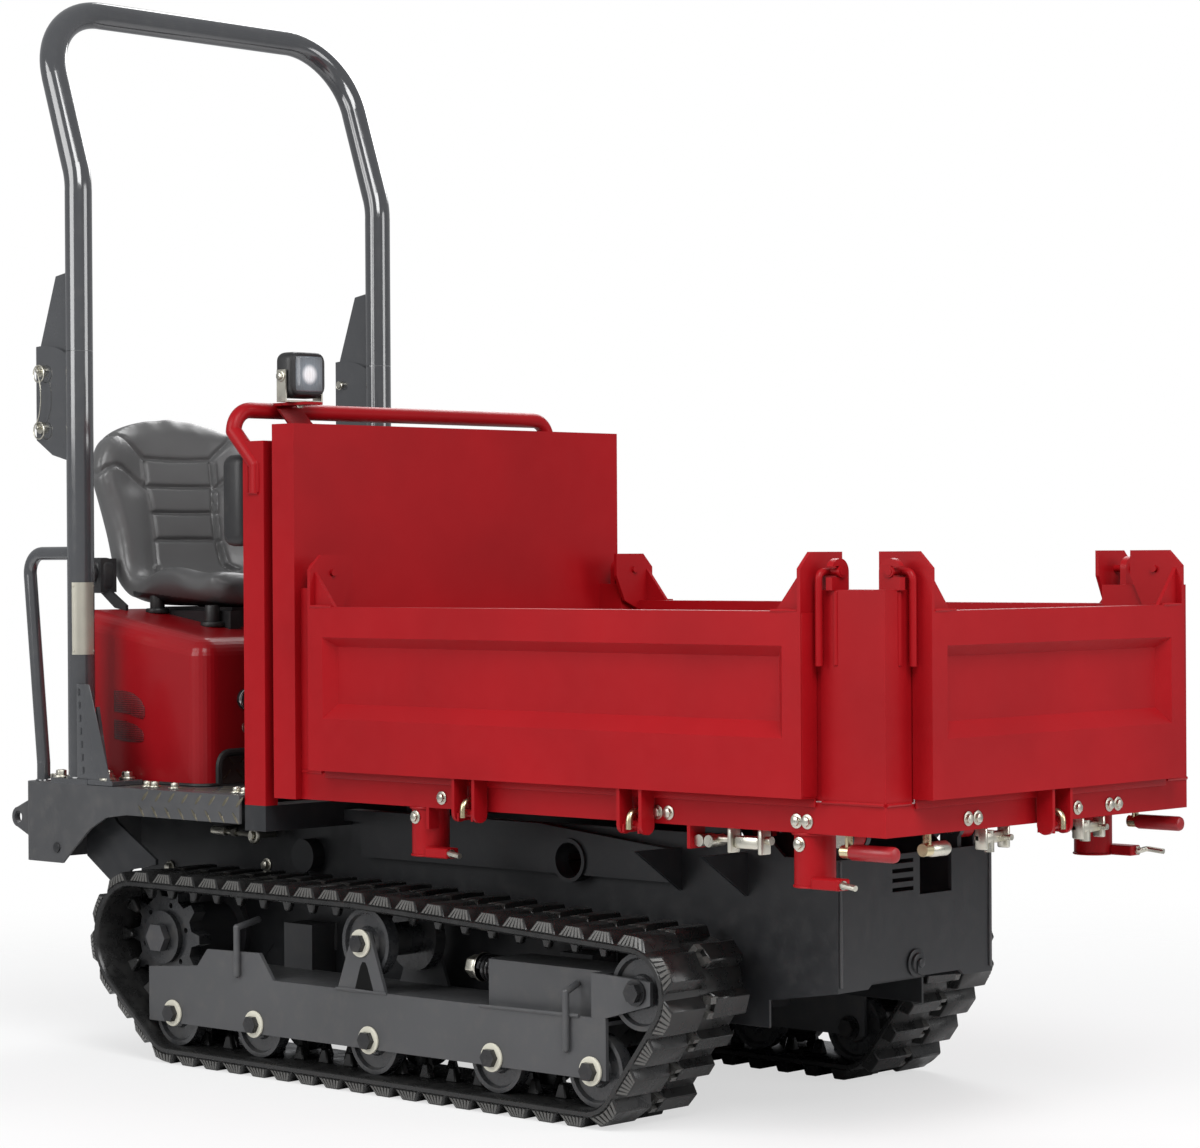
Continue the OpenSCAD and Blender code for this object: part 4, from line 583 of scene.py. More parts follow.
bpy.ops.object.mode_set(mode="EDIT")
bpy.ops.mesh.select_all(action="SELECT")
bpy.ops.mesh.remove_doubles(threshold=0.0002)
bpy.ops.mesh.normals_make_consistent(inside=False)
bpy.ops.object.mode_set(mode="OBJECT")
rubber = finish("track_rubber", (0.010, 0.010, 0.010), 0.2, 0.42, 500, 0.06, 0.15, (0.04, 0.037, 0.032))
tree = rubber.node_tree
shader = tree.nodes["Principled BSDF"]
plain = shader.inputs["Base Color"].links[0].from_socket
worn = add_node(tree, "Attribute", attribute_name=worn_mark)
scuffed = add_node(tree, "Mix", {"B": (0.085, 0.083, 0.078, 1)}, data_type="RGBA")
tree.links.new(plain, scuffed.inputs["A"])
wire(tree, (worn, "Fac", scuffed, "Factor"), (scuffed, "Result", shader, "Base Color"))
settle(tracks, rubber)
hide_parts("track_belts")


# Track wheels and their bolts: cast discs in dark paint on steel axles, with cream nylon washers
# under the bolt heads outside the frame plates. Thin dark plates paint the shade seen through the carrier
# brackets' windows.
wheel_paint = finish("wheel_paint", (0.03, 0.031, 0.033), 0.2, 0.4, 300, 0.06, 0.12, coat=0.2)
for side in ("right", "left"):
    dress(wheel_paint, side + "_sprocket", side + "_idler", side + "_carrier_roller",
          *[f"{side}_roller_{k}" for k in range(1, 6)])
dark_bolt = finish("dark_bolt", (0.05, 0.05, 0.052), 0.25, 0.4, 500, 0.06, 0.15, (0.3, 0.28, 0.24), 0.8)
dress(dark_bolt, "wheel_axles")
# Near-black, matt paint for the window plates: painted shade in place of openings.
window_shade_paint = finish("painted_window_shade", (0.006, 0.006, 0.006), 0.7, 0.8, 900, 0.02, 0.0, gloss=0.1)
cream = finish("cream_nylon", (0.62, 0.6, 0.5), 0.4, 0.55, 600, 0.04, 0.15, (0.25, 0.22, 0.16))
washer = rod_shape(0.0285, 0.0052, 36, 0.0016)
washer_places = []
for side in (-1, 1):
    for x, z in [(347, 107.5), (614, 107.5), (969, 107.5), (1324, 107.5), (1591, 107.5), (946, 303)]:
        washer_places.append(facing(at(x, side * (frame_face + 0.05), z), (0, side, 0)))
settle(copied(washer, washer_places, "axle_washers"), cream)


def plate(outline, normal, thick, bevel=0.0):
    # A flat plate of the outline's places, raised along normal
    data = bpy.data.meshes.new("plate")
    data.from_pydata([tuple(p) for p in outline], [], [tuple(range(len(outline)))])
    piece = new_object("plate", data)
    pick(piece)
    bpy.ops.object.mode_set(mode="EDIT")
    bpy.ops.mesh.select_all(action="SELECT")
    bpy.ops.mesh.extrude_region_move(TRANSFORM_OT_translate={"value": Vector(normal) * thick})
    bpy.ops.mesh.select_all(action="SELECT")
    bpy.ops.mesh.normals_make_consistent(inside=False)
    bpy.ops.object.mode_set(mode="OBJECT")
    if bevel:
        use_modifier(piece, "BEVEL", width=bevel, segments=2, limit_method="ANGLE")
    return piece


arches = []
for side in (-1, 1):
    opening = [(926, 204), (944, 256), (950, 265), (958, 265), (964, 256), (982, 208)][::side]
    arches.append(plate([at(x, side * frame_face, z) for x, z in opening], (0, side, 0), 0.0006))
settle(joined(arches, "bracket_window_shade"), window_shade_paint)

# Track tension springs: cold-wound steel wire in black enamel between the bracket and the bolt's plate,
# with a plated nut and washer on the bolt.
turns, wire_r, coil_r, coil_len, coil_x, axle_z = 5, 0.0045, 0.023, 0.064, 1211.3, 267
steps = turns * 28
coils = []
for side in (-1, 1):
    path = []
    for k in range(steps + 1):
        angle = k / steps * turns * math.tau
        x = coil_x + wire_r * 1000 + (coil_len - 2 * wire_r - 0.0006) * 1000 * k / steps
        turn = Vector((0, side * coil_r * math.cos(angle), coil_r * math.sin(angle)))
        path.append(at(x, side * track_mid, axle_z) + turn)
    coils.append(tube(path, wire_r))
spring_black = finish("spring_enamel", (0.012, 0.012, 0.013), 0.14, 0.24, 900, 0.02, 0.08, coat=0.5)
springs = settle(joined(coils, "wound_springs"), spring_black)
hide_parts("tension_springs")
nuts = [facing(at(1205.6, side * track_mid, axle_z), (-1, 0, 0), 0.26) for side in (-1, 1)]
nut = joined([rod_shape(0.0245, 0.030, 6, 0.003), rod_shape(0.013, 0.036, 20, 0.001)], "nut")
settle(copied(nut, nuts, "tension_nuts"), zinc)
seats = [facing(at(1205.8, side * track_mid, axle_z), (1, 0, 0)) for side in (-1, 1)]
settle(copied(rod_shape(0.0298, 0.0052, 32, 0.001), seats, "spring_seats"), zinc)

# Power unit under the cover and in the chassis: castings and moulded tanks, seen only from below.
# They keep their CAD form; the black plastic is shared with the console and the belt gear.
casting = finish("rough_casting", (0.07, 0.07, 0.074), 0.45, 0.65, 250, 0.2, 0.2)
dress(casting, "travel_motors", "engine", "hydraulic_pump")
black_plastic = finish("black_plastic", (0.018, 0.018, 0.019), 0.38, 0.5, 1200, 0.1, 0.06)
dress(black_plastic, "fuel_tank", "hydraulic_tank", "seat_belt", "work_light", "console")


# Engine cover: glossy red moulded shell in its CAD form, with a black rubber seal round its foot and a
# thicker rubber edge round its toe recess.
red_gloss = finish("red_gloss", (0.3, 0.005, 0.009), 0.28, 0.31, 700, 0.006, 0.0, (0.2, 0.03, 0.03),
                   coat=0.06, gloss=0.3)
dress(red_gloss, "engine_cover")
black_rubber = finish("black_rubber", (0.012, 0.012, 0.012), 0.4, 0.6, 900, 0.1, 0.08)


def rounded_path(points, radius, steps=6):
    # Straight runs through points with round corners, as a list of places
    path = [Vector(points[0])]
    for before, corner, after in zip(points, points[1:], points[2:]):
        corner = Vector(corner)
        start = corner + (Vector(before) - corner).normalized() * radius
        end = corner + (Vector(after) - corner).normalized() * radius
        for k in range(steps + 1):
            u = k / steps
            path.append((1 - u) ** 2 * start + 2 * u * (1 - u) * corner + u * u * end)
    path.append(Vector(points[-1]))
    return path


toe_y, toe_top = 330, 660
trims = []
for side in (-1, 1):
    foot = [at(-20, side * 380, 591), at(326, side * 380, 591), at(326.5, side * (toe_y + 4), 591)]
    trims.append(tube(rounded_path(foot, 0.044), 0.0045))
    rear = [at(-20, side * 380, 591), at(-151, side * 380, 591), at(-151, 0, 591)]
    trims.append(tube(rounded_path(rear, 0.044), 0.0045))
edge = [at(323, -toe_y - 2, 591), at(323, -toe_y - 2, toe_top + 1), at(323, toe_y + 2, toe_top + 1),
        at(323, toe_y + 2, 591)]
trims.append(tube(rounded_path(edge, 0.034), 0.009))
settle(joined(trims, "cover_seal"), black_rubber)

# Toe plate: a folded sheet of tread plate that lines the recess behind the rubber edge.
# Its lozenges are worn like those of the deck.
lining = [block(at(265.1, -329.5, 588.4), at(266.8, 329.5, 659.5)),
          block(at(266.8, -329.5, 657.8), at(320, 329.5, 659.5))]
for y in (-329.5, 327.8):
    lining.append(block(at(266.8, y, 588.4), at(320, y + 1.7, 657.8)))
tread_paint = finish("tread_paint", (0.085, 0.082, 0.075), 0.3, 0.5, 500, 0.06, 0.25, (0.16, 0.145, 0.11))
settle(joined(lining, "toe_plate"), tread_paint)
toe_lozenge = block((-0.015, -0.0028, 0), (0.015, 0.0028, 0.0016), (0.75, 0.4))
toe_places = []
for row in range(2):
    for k in range(-8, 9):
        spin = 0.8 if (k + row) % 2 else -0.8
        toe_places.append(facing(at(266.6, k * 37 + row * 10, 608 + row * 32), (1, 0, 0), spin))
settle(copied(toe_lozenge, toe_places, "toe_tread"), worn_steel)

# Vents, key switch and bolts of the cover: perforated panels set into both sides, whose holes are painted
# dark as painted shade, a switch with a chromed collar and two zinc bolts in the front face.
mesh_red, tree, shader = new_material("vent_mesh")
where = add_node(tree, "TexCoord")
flat = add_node(tree, "VectorMath", {1: (1, 0, 1)}, operation="MULTIPLY")
# The holes are not cut: near-black discs in the red mesh are painted shade behind the vent.
painted_hole_shade = add_node(tree, "TexVoronoi", {"Scale": 210, "Randomness": 0.0}, feature="F1")
rim = add_node(tree, "MapRange", {"From Min": 0.30, "From Max": 0.38})
tone = add_node(tree, "Mix", {"A": (0.012, 0.002, 0.002, 1), "B": (0.2, 0.008, 0.012, 1)}, data_type="RGBA")
dent = add_node(tree, "Bump", {"Distance": 0.002})
wire(tree, (where, "Object", flat, 0), (flat, "Vector", painted_hole_shade, "Vector"), (painted_hole_shade, "Distance", rim, "Value"),
     (rim, "Result", tone, "Factor"), (tone, "Result", shader, "Base Color"),
     (rim, "Result", dent, "Height"), (dent, "Normal", shader, "Normal"))
fill(shader, {"Roughness": 0.35})
upper_vent = [(20, 793), (50, 794), (86, 789), (114, 775), (127, 757), (129, 741), (122, 731), (101, 734),
              (70, 742), (20, 746)]
lower_vent = [(20, 728), (59, 726), (96, 718), (119, 706), (125, 693), (122, 682), (106, 679), (54, 680),
              (20, 686)]
vents = []
for side in (-1, 1):
    for outline in (upper_vent, lower_vent):
        places = [at(x, side * 378.1, z) for x, z in outline[::-side]]
        vents.append(plate(places, (0, side, 0), 0.0012, 0.0005))
settle(joined(vents, "cover_vents"), mesh_red)

key_y, key_z, cover_front = -256, 777, 325
switch = joined([rod_shape(0.0235, 0.008, 32, 0.002), rod_shape(0.016, 0.0105, 24, 0.001),
                 block((-0.0018, -0.010, 0.0105), (0.0018, 0.010, 0.012))], "key_switch")
switch.matrix_world = facing(at(cover_front, key_y, key_z), (1, 0, 0))
settle(switch, black_plastic)
chrome_trim = finish("chrome_trim", (0.6, 0.6, 0.6), 0.1, 0.2, 700, 0.01, 0.04, metal=1.0)
collar = tube(circle(332.5, key_y, key_z, 19.5, 28, "yz"), 0.0028, ring=True)
collar.name = "key_collar"
settle(collar, chrome_trim)
cover_bolts = [facing(at(cover_front, y, 714), (1, 0, 0), 0.3) for y in (-251, 251)]
bolts("cover_bolts", 0.009, 0.008, 0.014, cover_bolts)


# Seat: a one-piece foam bucket in grey vinyl on a black moulded pan. The solid's form is remeshed, swollen
# by a short cloth run with its back held still, then the sewn channels and seams are pressed in.
seat_front, seat_len, bend_r, bend_angle, seat_level = 225, 325, 90, math.radians(81), 1018.3
bend_len = bend_r * bend_angle
bend_x = seat_front - seat_len
seat_run = seat_len + bend_len + 340


def seat_place(point):
    # Distance along the seat's middle line from the cushion's front, and height above that line
    x, z = point.x * 1000 + origin_x, point.z * 1000 - seat_level
    if x >= bend_x:
        return seat_front - x, z
    ux, uz = x - bend_x, z - bend_r
    angle = math.atan2(-ux, -uz)
    if angle <= bend_angle and math.hypot(ux, uz) < 400 and angle > 0:
        return seat_len + bend_r * angle, bend_r - math.hypot(ux, uz)
    base_x, base_z = bend_x - bend_r * math.sin(bend_angle), bend_r * (1 - math.cos(bend_angle))
    dx, dz = x - base_x, z - base_z
    along = -dx * math.cos(bend_angle) + dz * math.sin(bend_angle)
    above = dx * math.sin(bend_angle) + dz * math.cos(bend_angle)
    return seat_len + bend_len + along, above


def swell(value, middle, spread):
    return math.exp(-((value - middle) / spread) ** 2)


def eased(value, low, high):
    u = max(0.0, min(1.0, (value - low) / (high - low)))
    return u * u * (3 - 2 * u)


seat = new_object("vinyl_seat", nodes["seat"].data.copy())
pick(seat)
bpy.ops.object.mode_set(mode="EDIT")
bpy.ops.mesh.select_all(action="SELECT")
bpy.ops.mesh.remove_doubles(threshold=0.0001)
bpy.ops.object.mode_set(mode="OBJECT")
use_modifier(seat, "REMESH", mode="VOXEL", voxel_size=0.006)
use_modifier(seat, "SMOOTH", factor=0.5, iterations=26)
back_normal = Vector((math.sin(bend_angle), 0, math.cos(bend_angle)))
for vertex in seat.data.vertices:
    t, h = seat_place(vertex.co)
    x, across = vertex.co.x * 1000 + origin_x, abs(vertex.co.y) * 1000
    face = eased(h, -24, 0)
    edge = eased(across, 140, 212)
    if t < seat_len + 90:
        thigh = 26 * swell(x, 45, 78) - 18 * swell(x, -95, 46)
        roll = 22 * swell(t, 40, 48) * (1 - 0.5 * edge)
        vertex.co.z += face * (thigh * edge + roll) / 1000
    down = seat_run - t
    if t > seat_len:
        side_roll = 15 * swell(across, 152, 40) * eased(down, 165, 215) * (1 - eased(down, 360, 470))
        shoulder_roll = 9 * swell(across, 178, 45) * swell(down, 105, 42)
        vertex.co += back_normal * (face * (side_roll + shoulder_roll) / 1000)
still = seat.vertex_groups.new(name="still")
for vertex in seat.data.vertices:
    t, h = seat_place(vertex.co)
    if h < -12:
        still.add([vertex.index], 1.0, "REPLACE")
before = [vertex.co.copy() for vertex in seat.data.vertices]
cloth = seat.modifiers.new("swell", "CLOTH")
cloth.settings.use_pressure = True
cloth.settings.uniform_pressure_force = 4.0
cloth.settings.vertex_group_mass = "still"
cloth.settings.effector_weights.gravity = 0.0
cloth.settings.quality = 4
cloth.collision_settings.use_self_collision = False
cloth.point_cache.frame_start, cloth.point_cache.frame_end = 1, 20
for frame_no in range(1, 21):
    bpy.context.scene.frame_set(frame_no)
pick(seat)
bpy.ops.object.modifier_apply(modifier=cloth.name)
bpy.context.scene.frame_set(1)
for vertex, start in zip(seat.data.vertices, before):
    moved = vertex.co - start
    if moved.length > 0.007:
        vertex.co = start + moved.normalized() * 0.007
use_modifier(seat, "SMOOTH", factor=0.5, iterations=34)
use_modifier(seat, "SUBSURF", levels=1, render_levels=1)

seat_seams = [([(-102, 107), (-40, 110), (40, 110), (102, 107)], 8.0, 5.5),
              ([(-96, 174), (0, 175), (96, 174)], 9.0, 5.0),
              ([(-90, 237), (0, 238), (90, 237)], 9.0, 5.0),
              ([(-90, 302), (0, 301), (90, 302)], 9.0, 5.0)]
for side in (-1, 1):
    pillow_edge = [(100, 118), (100, 170), (97, 184), (91, 232), (90, 250), (89, 298), (93, 312), (96, 345),
                   (97, 368), (112, 392), (120, 470), (126, 560), (124, 680), (110, 768)]
    seat_seams.append(([(side * y, d) for y, d in pillow_edge], 7.5, 5.5))
    yoke = [(102, 108), (130, 84), (158, 61), (190, 49), (228, 55)]
    seat_seams.append(([(side * y, d) for y, d in yoke], 8.0, 6.0))
    wing = [(106, 177), (128, 165), (150, 150), (185, 136), (215, 131), (245, 138), (266, 152)]
    seat_seams.append(([(side * y, d) for y, d in wing], 7.0, 6.0))
seat_rolls = []
for side in (-1, 1):
    for welt in ([(111, 120), (111, 170)], [(106, 190), (101, 232)], [(101, 250), (100, 300)],
                 [(104, 314), (108, 345), (110, 372), (128, 398)]):
        seat_rolls.append(([(side * y, d) for y, d in welt], 4.5, 5.0))


def pressed(lines, y, down):
    most = 0.0
    for line, depth, width in lines:
        near = 1e9
        for (ya, da), (yb, db) in zip(line, line[1:]):
            ey, ed = yb - ya, db - da
            u = max(0.0, min(1.0, ((y - ya) * ey + (down - da) * ed) / (ey * ey + ed * ed)))
            near = min(near, math.hypot(y - ya - u * ey, down - da - u * ed))
        if near < 3 * width:
            most = max(most, depth * swell(near, 0, width))
    return most


normals = [vertex.normal.copy() for vertex in seat.data.vertices]
for vertex, normal in zip(seat.data.vertices, normals):
    t, h = seat_place(vertex.co)
    if h > -14:
        y, down = vertex.co.y * 1000, seat_run - t
        vertex.co -= normal * (pressed(seat_seams, y, down) - pressed(seat_rolls, y, down)) / 1000
    corner = swell(math.hypot(abs(vertex.co.y) * 1000 - 228, (t - 6) * 1.0), 0, 9)
    vertex.co -= normal * 0.006 * corner
vinyl = finish("grey_vinyl", (0.098, 0.098, 0.098), 0.33, 0.39, 1600, 0.06, 0.02, (0.14, 0.135, 0.13),
               gloss=0.6)
settle(seat, vinyl)
seat.data.materials.append(black_plastic)
for face in seat.data.polygons:
    t, h = seat_place(face.center)
    x, z = face.center.x * 1000 + origin_x, face.center.z * 1000
    in_pan = z < 981 + (237 - x) * 0.10 if t < seat_len else h < -22
    face.material_index = 1 if in_pan else 0
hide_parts("seat")

# Seat pedestal and belt gear: black steel rails on rubber buffers and a moulded reel cover with its hub
# beside the seat's back.
satin_black = finish("satin_black", (0.014, 0.014, 0.015), 0.3, 0.45, 800, 0.05, 0.06)
dress(satin_black, "seat_base", "right_drive_lever", "left_drive_lever", "dump_lever", "dump_cylinder")
reel_cover = block(at(-217, -287, 1010), at(-143, -238, 1092), bevel=0.018, steps=4)
reel_hub = copied(rod_shape(0.024, 0.012, 28, 0.004), [facing(at(-176, -286, 1056), (0, -1, 0))], "hub")
settle(joined([reel_cover, reel_hub], "belt_reel"), black_plastic)
buffers = []
for x in (-45, 150):
    for y in (-200, 200):
        buffers.append(facing(at(x, y, 972 - (x + 105) * 0.1506), (0, 0, 1)))
foot = joined([rod_shape(0.017, 0.05, 20, 0.002), rod_shape(0.027, 0.012, 24, 0.003)], "foot")
settle(copied(foot, buffers, "seat_buffers"), black_rubber)


# Roll bar: bent steel tube in glossy charcoal paint on welded feet. The fold pins are zinc plated, each
# kept by a spring ring, and a bowed keeper of spring wire joins the two pins of a post.
rollbar_paint = finish("rollbar_paint", (0.05, 0.052, 0.056), 0.09, 0.17, 900, 0.015, 0.04, coat=0.8,
                       gloss=0.9)
dress(rollbar_paint, "rops_posts", "rops_hoop", "handrails")
dress(zinc, "rops_pins", "hinge_pins", "light_strap")
post_y, pin_x, pin_zs = 455, -115, (1385, 1513)
rings, keepers = [], []
for side in (-1, 1):
    face, inner = side * (post_y + 23), side * (post_y - 26.4)
    for z in pin_zs:
        rings.append(tube(circle(pin_x, face + side * 3, z - 6, 19, 28, "xz"), 0.0016, ring=True))
        head = rod_shape(0.0045, 0.010, 14, 0.001)
        rings.append(copied(head, [facing(at(pin_x, face, z), (0, side, 0))], "head"))
        rings.append(tube(circle(pin_x, inner + side * 2.2, z - 3, 9, 20, "xz"), 0.0014, ring=True))
    bow = [at(pin_x + x, side * (post_y + y), z) for x, y, z in (
        (-12, 27, 1521), (4, 29, 1500), (14, 30, 1462), (10, 30, 1420), (-4, 29, 1396), (-10, 27, 1391))]
    keepers.append(tube(bow, 0.0013, smooth=True))
settle(joined(rings, "pin_rings"), zinc)
settle(joined(keepers, "keeper_wires"), zinc)

# Bare data plate: a thin curved sheet of anodised aluminium, riveted round the near post.
# It carries no text.
plate_r, low_z, high_z = 31.0, 876, 1037
sheet_rows = []
for z in (low_z, high_z):
    turns = [math.radians(a) for a in range(-78, 29, 6)]
    sheet_rows.append([at(plate_r * math.cos(a), -post_y + plate_r * math.sin(a), z) for a in turns])
deselect()
bpy.ops.mesh.primitive_grid_add(x_subdivisions=len(sheet_rows[0]) - 1, y_subdivisions=1, size=1)
data_plate = bpy.context.object
data_plate.name = "bare_plate"
columns = sorted({round(vertex.co.x, 5) for vertex in data_plate.data.vertices})
for vertex in data_plate.data.vertices:
    vertex.co = sheet_rows[0 if vertex.co.y < 0 else 1][columns.index(round(vertex.co.x, 5))]
use_modifier(data_plate, "SOLIDIFY", thickness=0.001, offset=0)
aluminium = finish("aged_aluminium", (0.47, 0.45, 0.38), 0.35, 0.5, 500, 0.05, 0.2, (0.3, 0.27, 0.2), 0.6)
settle(data_plate, aluminium)
rivets = []
for z in (low_z + 8, high_z - 8):
    for a in (-70, 20):
        out = Vector((math.cos(math.radians(a)), math.sin(math.radians(a)), 0))
        rivets.append(facing(at(0, -post_y, z) + out * 0.0313, out))
settle(copied(rod_shape(0.0026, 0.0016, 10, 0.0006), rivets, "plate_rivets"), aluminium)

# Foot gussets: folded plates stitch-welded to the tube on long base plates, under the same charcoal paint.
# Rings of weld bead run round the feet of the posts and handrails.
gussets, beads = [], []
for side in (-1, 1):
    shape = [(24, 599.5), (142, 599.5), (69, 811), (24, 811)][::-side]
    gussets.append(plate([at(x, side * (post_y + 31), z) for x, z in shape], (0, side, 0), 0.002, 0.0006))
    gussets.append(span_block(at(64.9, side * (post_y - 50), 588.2), at(152, side * 491.8, 600), 0.0015, 1))
    y = side * (post_y + 33.5)
    for k in range(7):
        z = 612 + k * 29
        x = 30 + (811 - z) * 0.08
        beads.append(weld(at(x, y, z), at(x - 1.3, y, z + 15), 0.0026))
    beads.append(tube(circle(0, side * post_y, 601, 31, 40, "xy"), 0.0042, ring=True))
    beads.append(tube(circle(-140, side * post_y, 589, 15.5, 28, "xy"), 0.003, ring=True))
settle(joined(gussets, "post_gussets"), rollbar_paint)
settle(joined(beads, "post_welds"), rollbar_paint)


# Guard frame: welded square posts, a bent grab rail and a sheet panel in satin red paint, with weld
# seams at the rail's feet and small bolts that hold the panel.
red_paint = finish("red_paint", (0.325, 0.0045, 0.008), 0.36, 0.44, 700, 0.03, 0.02, (0.2, 0.03, 0.03),
                   coat=0.02, gloss=0.17)
dress(red_paint, "guard_frame", "bed_frame", "headboard", "right_side_board", "left_side_board", "tailgate")
guard_bolts = [facing(at(591, side * 468, z), (-1, 0, 0), 0.4)
               for side in (-1, 1) for z in (700, 900, 1100, 1290)]
bolts("guard_bolts", 0.006, 0.006, 0.010, guard_bolts)
beads = []
for side in (-1, 1):
    y = side * 486
    for x in (608, 640):
        beads.append(weld(at(x, y, 1227), at(x, y, 1288), 0.0028))
    beads.append(weld(at(608, y, 1225), at(640, y, 1225), 0.0028))
beads.append(weld(at(554, -369, 1415), at(585, -369, 1415), 0.0026))
stay = [(-385, 1406), (-322, 1410), (-244, 1336), (-318, 1336)]
beads.append(plate([at(586, y, z) for y, z in stay], (1, 0, 0), 0.006, 0.001))
settle(joined(beads, "guard_welds"), red_paint)

# Work light: a rounded black housing with ribs behind, a bezel and a fluted lens, whose colour paints the
# reflection of the silvered bowl with a painted highlight at its centre. It tilts in its zinc strap on two
# bolts; a third bolt holds the strap from below.
light_x, light_y, light_z = 615, -345, 1474.5


def on_light(x, y, z):
    return at(light_x + x, light_y + y, light_z + z)


shell = block(on_light(-32, -46.5, -46), on_light(28, 46.5, 52))
use_modifier(shell, "BEVEL", width=0.019, segments=5, limit_method="ANGLE")
housing_parts = [shell]
for k in range(-2, 3):
    housing_parts.append(span_block(on_light(-36, k * 11 - 2, -20), on_light(-31, k * 11 + 2, 28), 0.001, 1))
bezel = [on_light(26, y, z) for y, z in ((0, 46), (41, 46), (41, -36.5), (-41, -36.5), (-41, 46), (0, 46))]
housing_parts.append(tube(rounded_path(bezel, 0.018)[:-1], 0.005, ring=True))
housing = settle(joined(housing_parts, "light_housing"), black_plastic, "work_light")
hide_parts("work_light")
lens_glass, tree, shader = new_material("fluted_lens")
where = add_node(tree, "TexCoord")
move = add_node(tree, "Mapping", {"Location": -on_light(31, 0, 4)})
flutes = add_node(tree, "TexWave", {"Scale": 70}, bands_direction="Y")
reach = add_node(tree, "VectorMath", operation="LENGTH")
# Painted reflection: a white highlight at the lens centre, then dark and pale rings that stand for the
# silvered bowl.
painted_bowl_reflection = add_node(tree, "ValToRGB")
reflection_stops = painted_bowl_reflection.color_ramp.elements
reflection_stops[0].position, reflection_stops[0].color = 0.0, (1.0, 1.0, 1.0, 1)
reflection_stops[1].position, reflection_stops[1].color = 0.05, (0.11, 0.12, 0.13, 1)
for spot, colour in ((0.022, (0.2, 0.23, 0.26, 1)), (0.0135, (0.95, 0.97, 1.0, 1))):
    reflection_stops.new(spot).color = colour
ripple = add_node(tree, "Bump", {"Strength": 0.5, "Distance": 0.002})
wire(tree, (where, "Object", move, "Vector"), (move, "Vector", flutes, "Vector"), (move, "Vector", reach, 0),
     (reach, "Value", painted_bowl_reflection, "Fac"), (flutes, "Fac", ripple, "Height"), (painted_bowl_reflection, "Color", shader, "Base Color"),
     (ripple, "Normal", shader, "Normal"))
fill(shader, {"Roughness": 0.12, "Coat Weight": 0.8, "Coat Roughness": 0.03})
pane = block(on_light(20, -39, -34.5), on_light(32, 39, 44))
use_modifier(pane, "BEVEL", width=0.0055, segments=4, limit_method="ANGLE")
settle(pane, lens_glass, "work_light")
pane.name = "light_lens"
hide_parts("work_light_lens")
tilt_bolts = [facing(on_light(0, side * 53, 0), (0, side, 0)) for side in (-1, 1)]
bolts("light_bolts", 0.0085, 0.008, 0.012, tilt_bolts, "work_light")
bolts("strap_bolt", 0.0075, 0.006, 0.011, [facing(at(light_x, light_y, 1414), (0, 0, -1))])

# Console: moulded black box with rubber boots round the levers and a rounded monitor pod beside them.
# Box and levers keep their CAD form.
boots = []
for y in (-150, -60, 60):
    for k in range(4):
        narrow = Matrix.Diagonal((1 - k * 0.17, 1 - k * 0.17, 1, 1))
        boots.append(Matrix.Translation(at(516, y, 1151 + k * 9)) @ narrow)
settle(copied(rod_shape(0.04, 0.009, 28, 0.0035), boots, "lever_boots"), black_rubber)
pod = block(at(486, -462, 1114), at(560, -330, 1310), bevel=0.024, steps=4)
pod.name = "monitor_pod"
settle(pod, black_plastic)


# Load bed: sheet-steel floor, channel sills, posts and drop boards in satin red paint. Zinc flange bolts
# hold the sills.
bed_bolts = []
for side in (-1, 1):
    for x in (1178, 1759, 1787, 2098, 2123):
        bed_bolts.append(facing(at(x, side * 474, 609), (0, side, 0), x * 0.7))
    for x in (1099, 2102):
        bed_bolts.append(facing(at(x, side * 471.5, 567), (0, side, 0), 0.2))
for y in (-236, -208, 104, 208, 236):
    bed_bolts.append(facing(at(2302, y, 609), (1, 0, 0), y * 0.3))
bolts("sill_bolts", 0.0095, 0.008, 0.0135, bed_bolts, "bed")

# Posts and stake sockets: folded ribs up the outer faces of the corner posts, weld seams at the sills and
# round the sockets, flanges under the floor's edge and strips that close the board ends, all painted red.
# A clamp block at each socket's foot holds a zinc-plated pull pin with a bent tail.
socket_xs, socket_y, rib_low, rib_top = (1104, 2107), 434, 890, 1024
sill_weld_z, strip_low, strip_top = 646, 647, 985
ribs, pins = [], []
for side in (-1, 1):
    for x, y, size, half in ((2187, 474, 8, 3), (2299, 433, 6, 4)):
        low, high = at(x, side * y - half, rib_low), at(x + size, side * y + half, rib_top)
        ribs.append(span_block(low, high, 0.002, 1))
    for a, b in (((2160, 475), (2300, 475)), ((2303, 404), (2303, 472)), ((764, 475), (824, 475))):
        ribs.append(weld(at(a[0], side * a[1], sill_weld_z), at(b[0], side * b[1], sill_weld_z), 0.003))
    for x in socket_xs:
        for z, radius, bead in ((586, 39.5, 0.0035), (490, 38.5, 0.0022)):
            ribs.append(tube(circle(x, side * socket_y, z, radius, 40, "xy"), bead, ring=True))
        ribs.append(span_block(at(x + 22, side * 440, 488), at(x + 86, side * 473.5, 508), 0.002, 1))
        y = side * 462
        tail = [at(x + 80, y, 498), at(x + 94, y, 498), at(x + 96, side * 480, 501),
                at(x + 134, side * 484, 497)]
        pins.append(tube(rounded_path(tail, 0.008), 0.0055))
        pins.append(tube([at(x + 85, y, 498), at(x + 90, y, 498)], 0.0085))
    ribs.append(span_block(at(836, side * 430, 590), at(2256, side * 432.5, 642), 0.0008, 1))
    for x in (824, 2139):
        ribs.append(span_block(at(x, side * 468, strip_low), at(x + 15, side * 472, strip_top), 0.0008, 1))
    low, high = at(2295.5, side * 390.5, strip_low), at(2299.5, side * 404, strip_top)
    ribs.append(span_block(low, high, 0.0008, 1))
ribs.append(block(at(2254, -430, 590), at(2256.5, 430, 642), bevel=0.0008, steps=1))
settle(joined(ribs, "bed_ribs"), red_paint, "bed")
